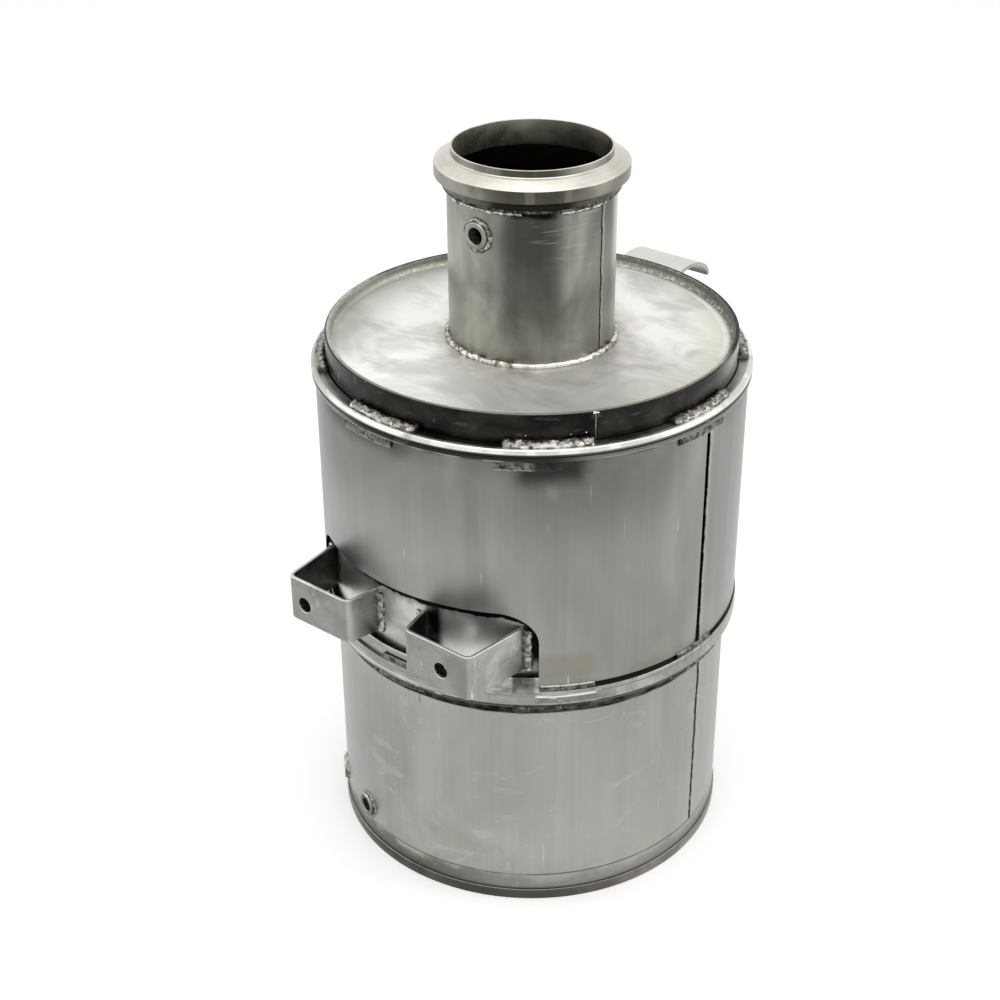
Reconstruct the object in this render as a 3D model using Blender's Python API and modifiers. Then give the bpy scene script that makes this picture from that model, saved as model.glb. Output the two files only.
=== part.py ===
"""Diesel oxidation catalyst: a welded stainless can with an inlet neck, a heat shield and brackets.

Sizes are in metres and angles in degrees, counted from +X towards +Y. The can stands on its
outlet flange at Z 0, with its inlet neck on top. The two mounting brackets face -Y and the
rear strap faces +Y. Everything is modelled about the can's axis, and one empty then moves
that axis so that the origin lies under the middle of the whole part.
"""
import math

import bmesh
import bpy
from mathutils import Matrix, Vector

# Clearance between two pieces that touch, and sides of the round pieces
GAP = 0.0003
CAN_SIDES = 48
NECK_SIDES = 36
BOSS_SIDES = 16
BEND_STEPS = 3
CURL_STEPS = 5
RING_STEPS = 2

# Limits for merging points and for sharp edges
MERGE_DISTANCE = 0.000002
TURN_MERGE = 0.00001
SHARP_ANGLE = 32.0
EDGE_ANGLE = 60.0

# Catalyst can and the inlet chamber wall that telescopes into it
CAN_RADIUS = 0.161
CAN_WALL = 0.0015
CAN_TOP = 0.300
CHAMBER_WALL = 0.0015
CHAMBER_OVERLAP = 0.015
RIM_HEIGHT = 0.4382
JOINT_WELD_SIZE = 0.0024

# Outlet flange under the can
OUTLET_FLANGE_PROUD = 0.0013
OUTLET_FLANGE_HEIGHT = 0.0092
OUTLET_FLANGE_WIDTH = 0.0103
OUTLET_SPIGOT_HEIGHT = 0.0148
OUTLET_SPIGOT_WALL = 0.0028
OUTLET_EDGE_CHAMFER = 0.0008

# Catalyst brick, its mat and the rings that hold the mat
MAT_THICKNESS = 0.0071
BRICK_LENGTH = 0.1524
BRICK_BOTTOM = 0.090
MAT_INSET = 0.006
RETAINER_WALL = 0.0015
RETAINER_DEPTH = 0.012
RETAINER_LIP = 0.004

# Inlet end plate, a shallow pan with its edge turned up inside the rim
PLATE_WALL = 0.0025
PLATE_DEPTH = 0.0082
PLATE_CORNER = 0.0086
RIM_WELD_HEIGHT = 0.0009
RIM_WELD_WIDTH = 0.0022

# Inlet neck tube, its flange and their welds, each weld a fillet with a rounded face
NECK_RADIUS = 0.0635
NECK_WALL = 0.00165
NECK_SINK = 0.007
NECK_WELD_SIZE = 0.0034
FILLET_BELLY = 0.62
NECK_LENGTH = 0.1418
FLANGE_PROUD = 0.0093
FLANGE_RIM_BOTTOM_DROP = 0.0203
FLANGE_RIM_TOP_DROP = 0.0110
FLANGE_HUB_BOTTOM_DROP = 0.0275
FLANGE_HUB_WALL = 0.0028
FLANGE_BACK_SLOPE = 0.0032
FLANGE_SHOULDER_DROP = 0.0145
NOSE_INSET = 0.0024
NOSE_DROP = 0.0057
LIP_INSET = 0.0032
LIP_WALL = 0.0015
FLANGE_EDGE_CHAMFER = 0.0006
FLANGE_WELD_SIZE = 0.0033
FLANGE_WELD_HEIGHT = 0.0055

# Threaded sensor bosses
BOSS_BORE = 0.0060
BOSS_WALL = 0.0042
BOSS_STAND = 0.0030
BOSS_TAIL = 0.0050
BOSS_EDGE_CHAMFER = 0.0008
BOSS_WELD_REACH = 0.0037
BOSS_WELD_DEPTH = 0.0040
NECK_BOSS_ANGLE = -90.0
NECK_BOSS_DROP = 0.0517
FRONT_BOSS_ANGLE = -108.9
FRONT_BOSS_HEIGHT = 0.036
SIDE_BOSS_ANGLE = -133.1
SIDE_BOSS_HEIGHT = 0.026

# Heat shield shell with its joggled lap seam, and the blanket under it
SHELL_STAND = 0.00715
SHELL_WALL = 0.0012
SHELL_BOTTOM = 0.2155
SHELL_TOP_DROP = 0.0262
LAP_ANGLE = -0.9
LAP_LENGTH = 0.036
LAP_JOGGLE = 0.0027
LAP_SLIT = 0.0012
LAP_NOTCH = 0.0080
LAP_NOTCH_STEP = 0.0020
LAP_COLUMN_MARGIN = 0.5
BLANKET_TOP_GAP = 0.0005
BLANKET_FOOT_GAP = 0.0086
BLANKET_CUT_BACK = 0.006

# Window in the shell round the brackets
WINDOW_SIDE_MARGIN = 0.017
WINDOW_TOP_MARGIN = 0.0144
WINDOW_CORNER = 0.026

# Closing rings at the shell's two ends, and their stitch welds
RING_WALL = 0.0012
RING_ROUNDNESS = 0.94
TOP_RING_CROWN_RISE = 0.0105
TOP_RING_SKIRT_DROP = 0.0023
LOW_RING_TOE_DROP = 0.0205
LOW_RING_STEP_DROP = 0.0060
LOW_RING_SKIRT_RISE = 0.0065
STITCH_COUNT = 8
STITCH_STEPS = 2
STITCH_BITE = 0.0006
TOP_INNER_STITCH_ANGLE = -47.6
TOP_INNER_STITCH_SPAN = 22.0
TOP_INNER_STITCH_SIZE = 0.0030
TOP_OUTER_STITCH_ANGLE = -50.6
TOP_OUTER_STITCH_SPAN = 15.0
TOP_OUTER_STITCH_SIZE = 0.0019
LOW_OUTER_STITCH_ANGLE = 0.4
LOW_OUTER_STITCH_SPAN = 14.0
LOW_OUTER_STITCH_SIZE = 0.0019
LOW_INNER_STITCH_ANGLE = -48.6
LOW_INNER_STITCH_SPAN = 15.0
LOW_INNER_STITCH_SIZE = 0.0020

# Mounting brackets: bent channels with their open side against the can
BRACKET_STAND = 0.0278
BRACKET_PLATE = 0.003
BRACKET_INNER_EDGE = 0.0285
BRACKET_WIDTH = 0.0635
BRACKET_RISE = 0.0057
BRACKET_HEIGHT = 0.0374
BRACKET_BEND = 0.0065
OUTER_LEG_SPLAY = 5.5
INNER_LEG_SPLAY = 12.0
BOLT_HOLE = 0.00625
BOLT_HOLE_HEIGHT = 0.0161
LEFT_HOLE_INSET = 0.0174
RIGHT_HOLE_INSET = 0.0273
LEG_WELD_SIZE = 0.0042
LEG_WELD_OFFSET = 0.0023

# Rear strap
STRAP_STAND = 0.044
STRAP_PLATE = 0.003
STRAP_WIDTH = 0.058
STRAP_TOP_DROP = 0.0008
STRAP_CURL = 0.016
STRAP_DEPTH = 0.0179
STRAP_WELD_SIZE = 0.0032
STRAP_WELD_WIDTH = 0.044

# Sizes that follow from the ones above
CAN_BORE = CAN_RADIUS - CAN_WALL
CHAMBER_RADIUS = CAN_BORE - GAP
CHAMBER_BORE = CHAMBER_RADIUS - CHAMBER_WALL
CHAMBER_BOTTOM = CAN_TOP - CHAMBER_OVERLAP
CAN_BOTTOM = OUTLET_FLANGE_HEIGHT + GAP
OUTLET_FLANGE_RADIUS = CAN_RADIUS + OUTLET_FLANGE_PROUD
OUTLET_FLANGE_BORE = OUTLET_FLANGE_RADIUS - OUTLET_FLANGE_WIDTH
BRICK_RADIUS = CAN_BORE - MAT_THICKNESS
BRICK_TOP = BRICK_BOTTOM + BRICK_LENGTH
PLATE_TOP = RIM_HEIGHT - PLATE_DEPTH
INLET_HEIGHT = RIM_HEIGHT + NECK_LENGTH
FLANGE_RADIUS = NECK_RADIUS + FLANGE_PROUD
FLANGE_RIM_BOTTOM = INLET_HEIGHT - FLANGE_RIM_BOTTOM_DROP
FLANGE_RIM_TOP = INLET_HEIGHT - FLANGE_RIM_TOP_DROP
FLANGE_HUB_BOTTOM = INLET_HEIGHT - FLANGE_HUB_BOTTOM_DROP
FLANGE_SHOULDER = INLET_HEIGHT - FLANGE_SHOULDER_DROP
NOSE_RADIUS = NECK_RADIUS - NOSE_INSET
NOSE_BOTTOM = INLET_HEIGHT - NOSE_DROP
LIP_RADIUS = NECK_RADIUS - LIP_INSET
NECK_BOSS_HEIGHT = INLET_HEIGHT - NECK_BOSS_DROP
SHELL_RADIUS = CAN_RADIUS + SHELL_STAND
SHELL_TOP = RIM_HEIGHT - SHELL_TOP_DROP
SHELL_BORE = SHELL_RADIUS - SHELL_WALL
LAP_INNER_RADIUS = SHELL_BORE - GAP
LAP_INNER_BORE = LAP_INNER_RADIUS - SHELL_WALL
TOP_RING_CROWN = SHELL_TOP + TOP_RING_CROWN_RISE
TOP_RING_SKIRT = SHELL_TOP - TOP_RING_SKIRT_DROP
LOW_RING_TOE = SHELL_BOTTOM - LOW_RING_TOE_DROP
LOW_RING_STEP = SHELL_BOTTOM - LOW_RING_STEP_DROP
LOW_RING_SKIRT = SHELL_BOTTOM + LOW_RING_SKIRT_RISE
BLANKET_TOP = SHELL_TOP - BLANKET_TOP_GAP
BLANKET_BOTTOM = LOW_RING_TOE + BLANKET_FOOT_GAP
BRACKET_REACH = CAN_RADIUS + BRACKET_STAND
BRACKET_OUTER_EDGE = BRACKET_INNER_EDGE + BRACKET_WIDTH
BRACKET_BOTTOM = LOW_RING_SKIRT + BRACKET_RISE
WINDOW_HALF_WIDTH = BRACKET_OUTER_EDGE + WINDOW_SIDE_MARGIN
WINDOW_TOP = BRACKET_BOTTOM + BRACKET_HEIGHT + WINDOW_TOP_MARGIN
STRAP_REACH = CAN_RADIUS + STRAP_STAND
STRAP_TOP = RIM_HEIGHT - STRAP_TOP_DROP
STRAP_TIP = STRAP_TOP - STRAP_DEPTH
NECK_BORE = NECK_RADIUS - NECK_WALL
PART_SHIFT = (BRACKET_REACH - STRAP_REACH) / 2

# Colour, roughness and metallic value of each finish
FINISHES = {
    "can_steel": ((0.50, 0.49, 0.46), 0.34, 1.0),
    "shell_steel": ((0.42, 0.41, 0.39), 0.40, 1.0),
    "plate_steel": ((0.66, 0.65, 0.61), 0.36, 1.0),
    "neck_steel": ((0.44, 0.43, 0.40), 0.36, 1.0),
    "ring_steel": ((0.55, 0.54, 0.51), 0.30, 1.0),
    "flange_steel": ((0.50, 0.49, 0.46), 0.32, 1.0),
    "bracket_steel": ((0.56, 0.55, 0.52), 0.42, 1.0),
    "weld_metal": ((0.46, 0.43, 0.38), 0.45, 1.0),
    "brick_ceramic": ((0.40, 0.37, 0.30), 0.85, 0.0),
    "mat_fibre": ((0.72, 0.70, 0.64), 0.95, 0.0),
}


def empty_scene():
    for obj in list(bpy.data.objects):
        bpy.data.objects.remove(obj, do_unlink=True)
    for group in list(bpy.data.collections):
        bpy.data.collections.remove(group)


def new_collection(name):
    group = bpy.data.collections.new(name)
    bpy.context.scene.collection.children.link(group)
    return group


def new_object(name, mesh, group, axis):
    obj = bpy.data.objects.new(name, mesh)
    group.objects.link(obj)
    obj.parent = axis
    return obj


def give_finish(obj, finish):
    colour, roughness, metallic = FINISHES[finish]
    material = bpy.data.materials.new(obj.name + "_" + finish)
    material.use_nodes = True
    shader = material.node_tree.nodes["Principled BSDF"]
    shader.inputs["Base Color"].default_value = (*colour, 1.0)
    shader.inputs["Roughness"].default_value = roughness
    shader.inputs["Metallic"].default_value = metallic
    material.diffuse_color = (*colour, 1.0)
    obj.data.materials.clear()
    obj.data.materials.append(material)


def polar(radius, angle):
    turn = math.radians(angle)
    return radius * math.cos(turn), radius * math.sin(turn)


def rounded(corners, radii, steps=BEND_STEPS, closed=False):
    """Gives a line through the corners, each rounded by an arc of its own radius."""
    line = []
    count = len(corners)
    for i, corner in enumerate(corners):
        at = Vector(corner)
        at_end = not closed and i in (0, count - 1)
        if at_end or radii[i] == 0:
            line.append(tuple(at))
            continue
        back = (Vector(corners[i - 1]) - at).normalized()
        ahead = (Vector(corners[(i + 1) % count]) - at).normalized()
        half = back.angle(ahead) / 2
        reach = radii[i] / math.tan(half)
        centre = at + (back + ahead).normalized() * (radii[i] / math.sin(half))
        start = at + back * reach - centre
        end = at + ahead * reach - centre
        sweep = start.angle_signed(end)
        for k in range(steps + 1):
            arm = Matrix.Rotation(-sweep * k / steps, 2) @ start
            line.append(tuple(centre + arm))
    return line


def line_mesh(name, line, closed):
    """Gives a mesh of edges in the XZ plane, from pairs of radius and height."""
    mesh = bpy.data.meshes.new(name)
    edges = [(i, i + 1) for i in range(len(line) - 1)]
    if closed:
        edges.append((len(line) - 1, 0))
    mesh.from_pydata([(r, 0.0, z) for r, z in line], edges, [])
    return mesh


def add_turn(obj, sides):
    turn = obj.modifiers.new("turn", "SCREW")
    turn.steps = sides
    turn.render_steps = sides
    turn.merge_threshold = TURN_MERGE
    turn.use_smooth_shade = True


def add_wall(obj, wall):
    solid = obj.modifiers.new("wall", "SOLIDIFY")
    solid.thickness = wall
    solid.offset = 0.0
    solid.use_even_offset = True


def add_boolean(obj, other, operation):
    step = obj.modifiers.new(operation.lower(), "BOOLEAN")
    step.operation = operation
    step.solver = "EXACT"
    step.object = other


def settle(obj):
    """Applies the modifiers, points every face outwards and shades the round sides smooth."""
    bpy.context.view_layer.update()
    evaluated = obj.evaluated_get(bpy.context.evaluated_depsgraph_get())
    mesh = bpy.data.meshes.new_from_object(evaluated)
    shape = bmesh.new()
    shape.from_mesh(mesh)
    bmesh.ops.remove_doubles(shape, verts=shape.verts, dist=MERGE_DISTANCE)
    bmesh.ops.recalc_face_normals(shape, faces=shape.faces)
    shape.to_mesh(mesh)
    shape.free()
    mesh.shade_smooth()
    mesh.set_sharp_from_angle(angle=math.radians(SHARP_ANGLE))
    old = obj.data
    obj.modifiers.clear()
    obj.data = mesh
    bpy.data.meshes.remove(old)


class Shop:
    """Holds the two collections and the axis that every piece is parented to."""

    def __init__(self):
        self.parts = new_collection("diesel_oxidation_catalyst")
        self.cutters = new_collection("cutters")
        self.axis = bpy.data.objects.new("can_axis", None)
        self.axis.location = (0.0, PART_SHIFT, 0.0)
        self.parts.objects.link(self.axis)

    def piece(self, name, mesh):
        return new_object(name, mesh, self.parts, self.axis)

    def cutter(self, name, mesh):
        obj = new_object(name, mesh, self.cutters, self.axis)
        obj.hide_render = True
        obj.display_type = "WIRE"
        return obj

    def turned(self, name, profile, sides, finish):
        """Makes a solid of revolution from a closed profile."""
        obj = self.piece(name, line_mesh(name, profile, True))
        add_turn(obj, sides)
        settle(obj)
        give_finish(obj, finish)
        return obj

    def spun_sheet(self, name, line, wall, sides, finish):
        """Makes a pressed ring or pan from the middle line of its sheet."""
        obj = self.piece(name, line_mesh(name, line, False))
        add_turn(obj, sides)
        add_wall(obj, wall)
        settle(obj)
        give_finish(obj, finish)
        return obj

    def cylinder_cutter(self, name, radius, low, high, sides):
        return self.cutter(name, cone_mesh(name, radius, radius, low, high, sides))


def cone_mesh(name, low_radius, high_radius, low, high, sides):
    """Gives a capped cone along Z between two heights."""
    shape = bmesh.new()
    middle = Matrix.Translation((0.0, 0.0, (low + high) / 2))
    bmesh.ops.create_cone(
        shape, cap_ends=True, segments=sides, matrix=middle,
        radius1=low_radius, radius2=high_radius, depth=high - low)
    mesh = bpy.data.meshes.new(name)
    shape.to_mesh(mesh)
    shape.free()
    return mesh


def prism_mesh(name, outline, start, vector):
    """Gives a solid from a flat outline of 3-D points, pushed along a vector."""
    shape = bmesh.new()
    rim = [shape.verts.new(Vector(point) + Vector(start)) for point in outline]
    face = shape.faces.new(rim)
    pushed = bmesh.ops.extrude_face_region(shape, geom=[face])["geom"]
    moved = [item for item in pushed if isinstance(item, bmesh.types.BMVert)]
    bmesh.ops.translate(shape, verts=moved, vec=Vector(vector))
    bmesh.ops.recalc_face_normals(shape, faces=shape.faces)
    mesh = bpy.data.meshes.new(name)
    shape.to_mesh(mesh)
    shape.free()
    return mesh


def box_profile(inner, outer, low, high):
    return [(outer, high), (outer, low), (inner, low), (inner, high)]


def outward(angle, height):
    """Gives the matrix that lays a piece made along Z on a ray out of the can's axis."""
    turn = Matrix.Rotation(math.radians(angle), 4, "Z")
    lay = Matrix.Rotation(math.radians(90), 4, "Y")
    return Matrix.Translation((0.0, 0.0, height)) @ turn @ lay


def cut_by(obj, cutter):
    add_boolean(obj, cutter, "DIFFERENCE")
    settle_keep(obj)


def settle_keep(obj):
    """Settles a piece again after a cut, with its material kept."""
    kept = list(obj.data.materials)
    settle(obj)
    obj.data.materials.clear()
    for material in kept:
        obj.data.materials.append(material)


def make_can(shop):
    can = shop.turned("catalyst_can", box_profile(CAN_BORE, CAN_RADIUS, CAN_BOTTOM, CAN_TOP),
                      CAN_SIDES, "can_steel")
    chamber = shop.turned("inlet_chamber_wall",
                          box_profile(CHAMBER_BORE, CHAMBER_RADIUS, CHAMBER_BOTTOM, RIM_HEIGHT),
                          CAN_SIDES, "can_steel")
    inner = CHAMBER_RADIUS + GAP
    low = CAN_TOP + GAP
    bead = [(inner, low + JOINT_WELD_SIZE), (CAN_RADIUS, low), (inner, low)]
    shop.turned("can_joint_weld", bead, CAN_SIDES, "weld_metal")
    return can, chamber


def make_outlet_flange(shop):
    chamfer = OUTLET_EDGE_CHAMFER
    spigot = CAN_BORE - GAP
    top = OUTLET_FLANGE_HEIGHT + OUTLET_SPIGOT_HEIGHT
    profile = [
        (spigot, top),
        (spigot, OUTLET_FLANGE_HEIGHT),
        (OUTLET_FLANGE_RADIUS - chamfer, OUTLET_FLANGE_HEIGHT),
        (OUTLET_FLANGE_RADIUS, OUTLET_FLANGE_HEIGHT - chamfer),
        (OUTLET_FLANGE_RADIUS, chamfer),
        (OUTLET_FLANGE_RADIUS - chamfer, 0.0),
        (OUTLET_FLANGE_BORE, 0.0),
        (OUTLET_FLANGE_BORE, OUTLET_FLANGE_HEIGHT),
        (spigot - OUTLET_SPIGOT_WALL, top),
    ]
    return shop.turned("outlet_flange", profile, CAN_SIDES, "flange_steel")


def make_catalyst(shop):
    brick = shop.piece("catalyst_brick", cone_mesh(
        "catalyst_brick", BRICK_RADIUS, BRICK_RADIUS, BRICK_BOTTOM, BRICK_TOP, CAN_SIDES))
    settle(brick)
    give_finish(brick, "brick_ceramic")
    mat = box_profile(BRICK_RADIUS + GAP, CAN_BORE - GAP, BRICK_BOTTOM + MAT_INSET, BRICK_TOP - MAT_INSET)
    shop.turned("mounting_mat", mat, CAN_SIDES, "mat_fibre")
    outer = CAN_BORE - GAP - RETAINER_WALL / 2
    inner = BRICK_RADIUS - RETAINER_LIP
    offset = GAP + RETAINER_WALL / 2
    ends = (("lower_retaining_ring", BRICK_BOTTOM, -1), ("upper_retaining_ring", BRICK_TOP, 1))
    for name, face, away in ends:
        seat = face + away * offset
        line = [(outer, seat + away * RETAINER_DEPTH), (outer, seat), (inner, seat)]
        shop.spun_sheet(name, line, RETAINER_WALL, CAN_SIDES, "can_steel")


def make_end_plate(shop):
    middle = PLATE_TOP - PLATE_WALL / 2
    outer = CHAMBER_BORE - GAP - PLATE_WALL / 2
    edge = middle + PLATE_CORNER
    hole = NECK_RADIUS + GAP
    line = rounded([(outer, edge + GAP), (outer, middle), (hole, middle)], [0, PLATE_CORNER, 0], RING_STEPS)
    shop.spun_sheet("inlet_end_plate", line, PLATE_WALL, CAN_SIDES, "plate_steel")
    low = edge + 2 * GAP
    rim = CHAMBER_BORE - GAP
    bead = [(rim, low + RIM_WELD_HEIGHT), (rim, low), (rim - RIM_WELD_WIDTH, low)]
    shop.turned("rim_weld", bead, CAN_SIDES, "weld_metal")


def fillet_profile(radius, low, size, height):
    """Gives a weld fillet against a tube of this radius, standing on what lies under it."""
    return [
        (radius, low + height),
        (radius + size * FILLET_BELLY, low + height * FILLET_BELLY),
        (radius + size, low),
        (radius, low),
    ]


def make_neck(shop):
    tube = shop.turned("neck_tube", box_profile(NECK_BORE, NECK_RADIUS, PLATE_TOP - NECK_SINK,
                                                FLANGE_SHOULDER - GAP), NECK_SIDES, "neck_steel")
    foot = fillet_profile(NECK_RADIUS + GAP, PLATE_TOP + GAP, NECK_WELD_SIZE, NECK_WELD_SIZE)
    shop.turned("neck_foot_weld", foot, NECK_SIDES, "weld_metal")
    bore = NECK_RADIUS + GAP
    hub = bore + FLANGE_HUB_WALL
    chamfer = FLANGE_EDGE_CHAMFER
    profile = [
        (LIP_RADIUS, INLET_HEIGHT),
        (LIP_RADIUS, NOSE_BOTTOM + chamfer),
        (NOSE_RADIUS, NOSE_BOTTOM),
        (FLANGE_RADIUS - chamfer, FLANGE_RIM_TOP),
        (FLANGE_RADIUS, FLANGE_RIM_TOP - chamfer),
        (FLANGE_RADIUS, FLANGE_RIM_BOTTOM + chamfer),
        (FLANGE_RADIUS - chamfer, FLANGE_RIM_BOTTOM),
        (hub, FLANGE_RIM_BOTTOM - FLANGE_BACK_SLOPE),
        (hub, FLANGE_HUB_BOTTOM),
        (bore, FLANGE_HUB_BOTTOM),
        (bore, FLANGE_SHOULDER),
        (LIP_RADIUS - LIP_WALL, FLANGE_SHOULDER + LIP_WALL),
        (LIP_RADIUS - LIP_WALL, INLET_HEIGHT),
    ]
    shop.turned("inlet_flange", profile, NECK_SIDES, "flange_steel")
    top = FLANGE_HUB_BOTTOM - GAP
    fillet = fillet_profile(bore, top, FLANGE_WELD_SIZE, FLANGE_WELD_HEIGHT)
    mirrored = [(r, 2 * top - z) for r, z in fillet]
    shop.turned("inlet_flange_weld", mirrored, NECK_SIDES, "weld_metal")
    return tube


def make_boss(shop, name, wall_radius, wall, sides, angle, height, carriers):
    """Fits a threaded boss through the wall that carries it, with its weld round the outside."""
    outer = BOSS_BORE + BOSS_WALL
    face = wall_radius + BOSS_STAND
    tail = wall_radius - wall - BOSS_TAIL
    place = outward(angle, height)
    boss = shop.piece(name, cone_mesh(name, outer, outer, tail, face, BOSS_SIDES))
    edge = boss.modifiers.new("edge", "BEVEL")
    edge.width = BOSS_EDGE_CHAMFER
    edge.segments = 1
    edge.angle_limit = math.radians(EDGE_ANGLE)
    bore = shop.cylinder_cutter(name + "_bore", BOSS_BORE, tail - BOSS_TAIL, face + BOSS_TAIL, BOSS_SIDES)
    add_boolean(boss, bore, "DIFFERENCE")
    settle(boss)
    boss.data.transform(place)
    give_finish(boss, "flange_steel")
    bore.data.transform(place)
    hole = shop.cylinder_cutter(name + "_hole", outer + GAP, tail - BOSS_TAIL, face + BOSS_TAIL, BOSS_SIDES)
    hole.data.transform(place)
    for carrier in carriers:
        cut_by(carrier, hole)
    reach = outer + BOSS_WELD_REACH
    weld_name = name + "_weld"
    low = wall_radius - BOSS_WELD_DEPTH
    weld = shop.piece(weld_name, cone_mesh(
        weld_name, reach + BOSS_WELD_DEPTH / 2, outer + BOSS_WELD_REACH / 2, low,
        face - BOSS_EDGE_CHAMFER * 2, BOSS_SIDES))
    weld.data.transform(place)
    clear = shop.cylinder_cutter(weld_name + "_seat", wall_radius + GAP, height - 2 * reach,
                                 height + 2 * reach, sides)
    add_boolean(weld, hole, "DIFFERENCE")
    add_boolean(weld, clear, "DIFFERENCE")
    settle(weld)
    give_finish(weld, "weld_metal")


def stitch(shop, name, radius, height, middle, span, size):
    """Makes one short weld bead along the rim of a ring."""
    curve = bpy.data.curves.new(name, "CURVE")
    curve.dimensions = "3D"
    curve.bevel_depth = size
    curve.bevel_resolution = 0
    curve.use_fill_caps = True
    spline = curve.splines.new("POLY")
    spline.points.add(STITCH_STEPS)
    clear_radius = radius / math.cos(math.radians(span / STITCH_STEPS / 2))
    for i, point in enumerate(spline.points):
        x, y = polar(clear_radius, middle + span * (i / STITCH_STEPS - 0.5))
        point.co = (x, y, height, 1.0)
    rope = new_object(name + "_curve", curve, shop.cutters, shop.axis)
    bpy.context.view_layer.update()
    mesh = bpy.data.meshes.new_from_object(rope.evaluated_get(bpy.context.evaluated_depsgraph_get()))
    bpy.data.objects.remove(rope, do_unlink=True)
    bead = shop.cutter(name, mesh)
    settle(bead)
    return bead


def weld_stitches(shop, ring, row, radius, height, angle, span, size):
    """Fuses one row of stitch welds to the ring that they hold, the first one at this angle."""
    for i in range(STITCH_COUNT):
        middle = angle + i * 360.0 / STITCH_COUNT
        bead = stitch(shop, f"{row}_{i + 1}", radius, height, middle, span, size)
        add_boolean(ring, bead, "UNION")
    settle_keep(ring)


def make_top_ring(shop):
    half = RING_WALL / 2
    inner = CHAMBER_RADIUS + GAP + half
    outer = SHELL_RADIUS + GAP + RING_WALL + half
    crown = TOP_RING_CROWN - half
    round_over = (outer - inner) / 2 * RING_ROUNDNESS
    corners = [(outer, TOP_RING_SKIRT), (outer, crown), (inner, crown), (inner, TOP_RING_SKIRT)]
    line = rounded(corners, [0, round_over, round_over, 0], RING_STEPS)[:-1]
    ring = shop.spun_sheet("top_closing_ring", line, RING_WALL, CAN_SIDES, "ring_steel")
    weld_stitches(shop, ring, "top_inner_stitch", CHAMBER_RADIUS + GAP + TOP_INNER_STITCH_SIZE,
                  TOP_RING_CROWN - STITCH_BITE,
                  TOP_INNER_STITCH_ANGLE, TOP_INNER_STITCH_SPAN, TOP_INNER_STITCH_SIZE)
    weld_stitches(shop, ring, "top_outer_stitch", SHELL_RADIUS + GAP + TOP_OUTER_STITCH_SIZE,
                  TOP_RING_SKIRT - STITCH_BITE,
                  TOP_OUTER_STITCH_ANGLE, TOP_OUTER_STITCH_SPAN, TOP_OUTER_STITCH_SIZE)


def make_low_ring(shop):
    half = RING_WALL / 2
    inner = CAN_RADIUS + GAP + half
    outer = SHELL_RADIUS + half
    skirt = SHELL_BORE - GAP - half
    toe = LOW_RING_TOE + half
    round_over = (outer - inner) / 2 * RING_ROUNDNESS
    corners = [(skirt, LOW_RING_SKIRT), (skirt, LOW_RING_STEP + RING_WALL * 2), (outer, LOW_RING_STEP),
               (outer, toe), (inner, toe), (inner, LOW_RING_SKIRT)]
    line = rounded(corners, [0, 0, 0, round_over, round_over, 0], RING_STEPS)[:-1]
    ring = shop.spun_sheet("lower_closing_ring", line, RING_WALL, CAN_SIDES, "ring_steel")
    weld_stitches(shop, ring, "low_outer_stitch", SHELL_RADIUS - STITCH_BITE,
                  SHELL_BOTTOM - GAP - LOW_OUTER_STITCH_SIZE,
                  LOW_OUTER_STITCH_ANGLE, LOW_OUTER_STITCH_SPAN, LOW_OUTER_STITCH_SIZE)
    weld_stitches(shop, ring, "low_inner_stitch", CAN_RADIUS + GAP + LOW_INNER_STITCH_SIZE,
                  LOW_RING_TOE + STITCH_BITE,
                  LOW_INNER_STITCH_ANGLE, LOW_INNER_STITCH_SPAN, LOW_INNER_STITCH_SIZE)


def lap_columns():
    """Gives angle, sheet radius and foot height of each upright line of the lapped shell."""
    step = 360.0 / CAN_SIDES
    over = SHELL_RADIUS - SHELL_WALL / 2
    under = LAP_INNER_RADIUS - SHELL_WALL / 2
    notch = SHELL_BOTTOM + LAP_NOTCH
    slit = math.degrees(LAP_SLIT / SHELL_RADIUS)
    joggle = math.degrees(LAP_JOGGLE / SHELL_RADIUS)
    notch_step = math.degrees(LAP_NOTCH_STEP / SHELL_RADIUS)
    inner_end = LAP_ANGLE + math.degrees(LAP_LENGTH / SHELL_RADIUS)
    joggle_end = LAP_ANGLE + 360.0 - slit
    joggle_start = joggle_end - joggle
    columns = [(LAP_ANGLE, over, SHELL_BOTTOM)]
    regular = [i * step for i in range(CAN_SIDES)]
    clear_end = joggle_start - notch_step
    first = LAP_ANGLE + LAP_COLUMN_MARGIN
    last = clear_end - LAP_COLUMN_MARGIN
    columns += [(angle, over, SHELL_BOTTOM) for angle in regular if first < angle < last]
    columns.append((clear_end, over, SHELL_BOTTOM))
    columns.append((joggle_start, over, notch))
    columns.append((joggle_end, under, notch))
    under_part = [360.0 + angle for angle in regular if LAP_ANGLE < angle < inner_end - LAP_COLUMN_MARGIN]
    columns += [(angle, under, notch) for angle in under_part]
    columns.append((360.0 + inner_end, under, notch))
    return columns


def window_cutter(shop, name, margin):
    """Makes the prism that cuts the round-cornered window, open at its foot."""
    half = WINDOW_HALF_WIDTH + margin
    top = WINDOW_TOP + margin
    foot = LOW_RING_TOE - BRACKET_HEIGHT
    corner = WINDOW_CORNER + margin
    flat = rounded([(-half, foot), (-half, top), (half, top), (half, foot)], [0, corner, corner, 0],
                   CURL_STEPS, closed=True)
    outline = [(x, 0.0, z) for x, z in flat]
    start = (0.0, -CAN_RADIUS / 2, 0.0)
    return shop.cutter(name, prism_mesh(name, outline, start, (0.0, -BRACKET_REACH, 0.0)))


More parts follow.
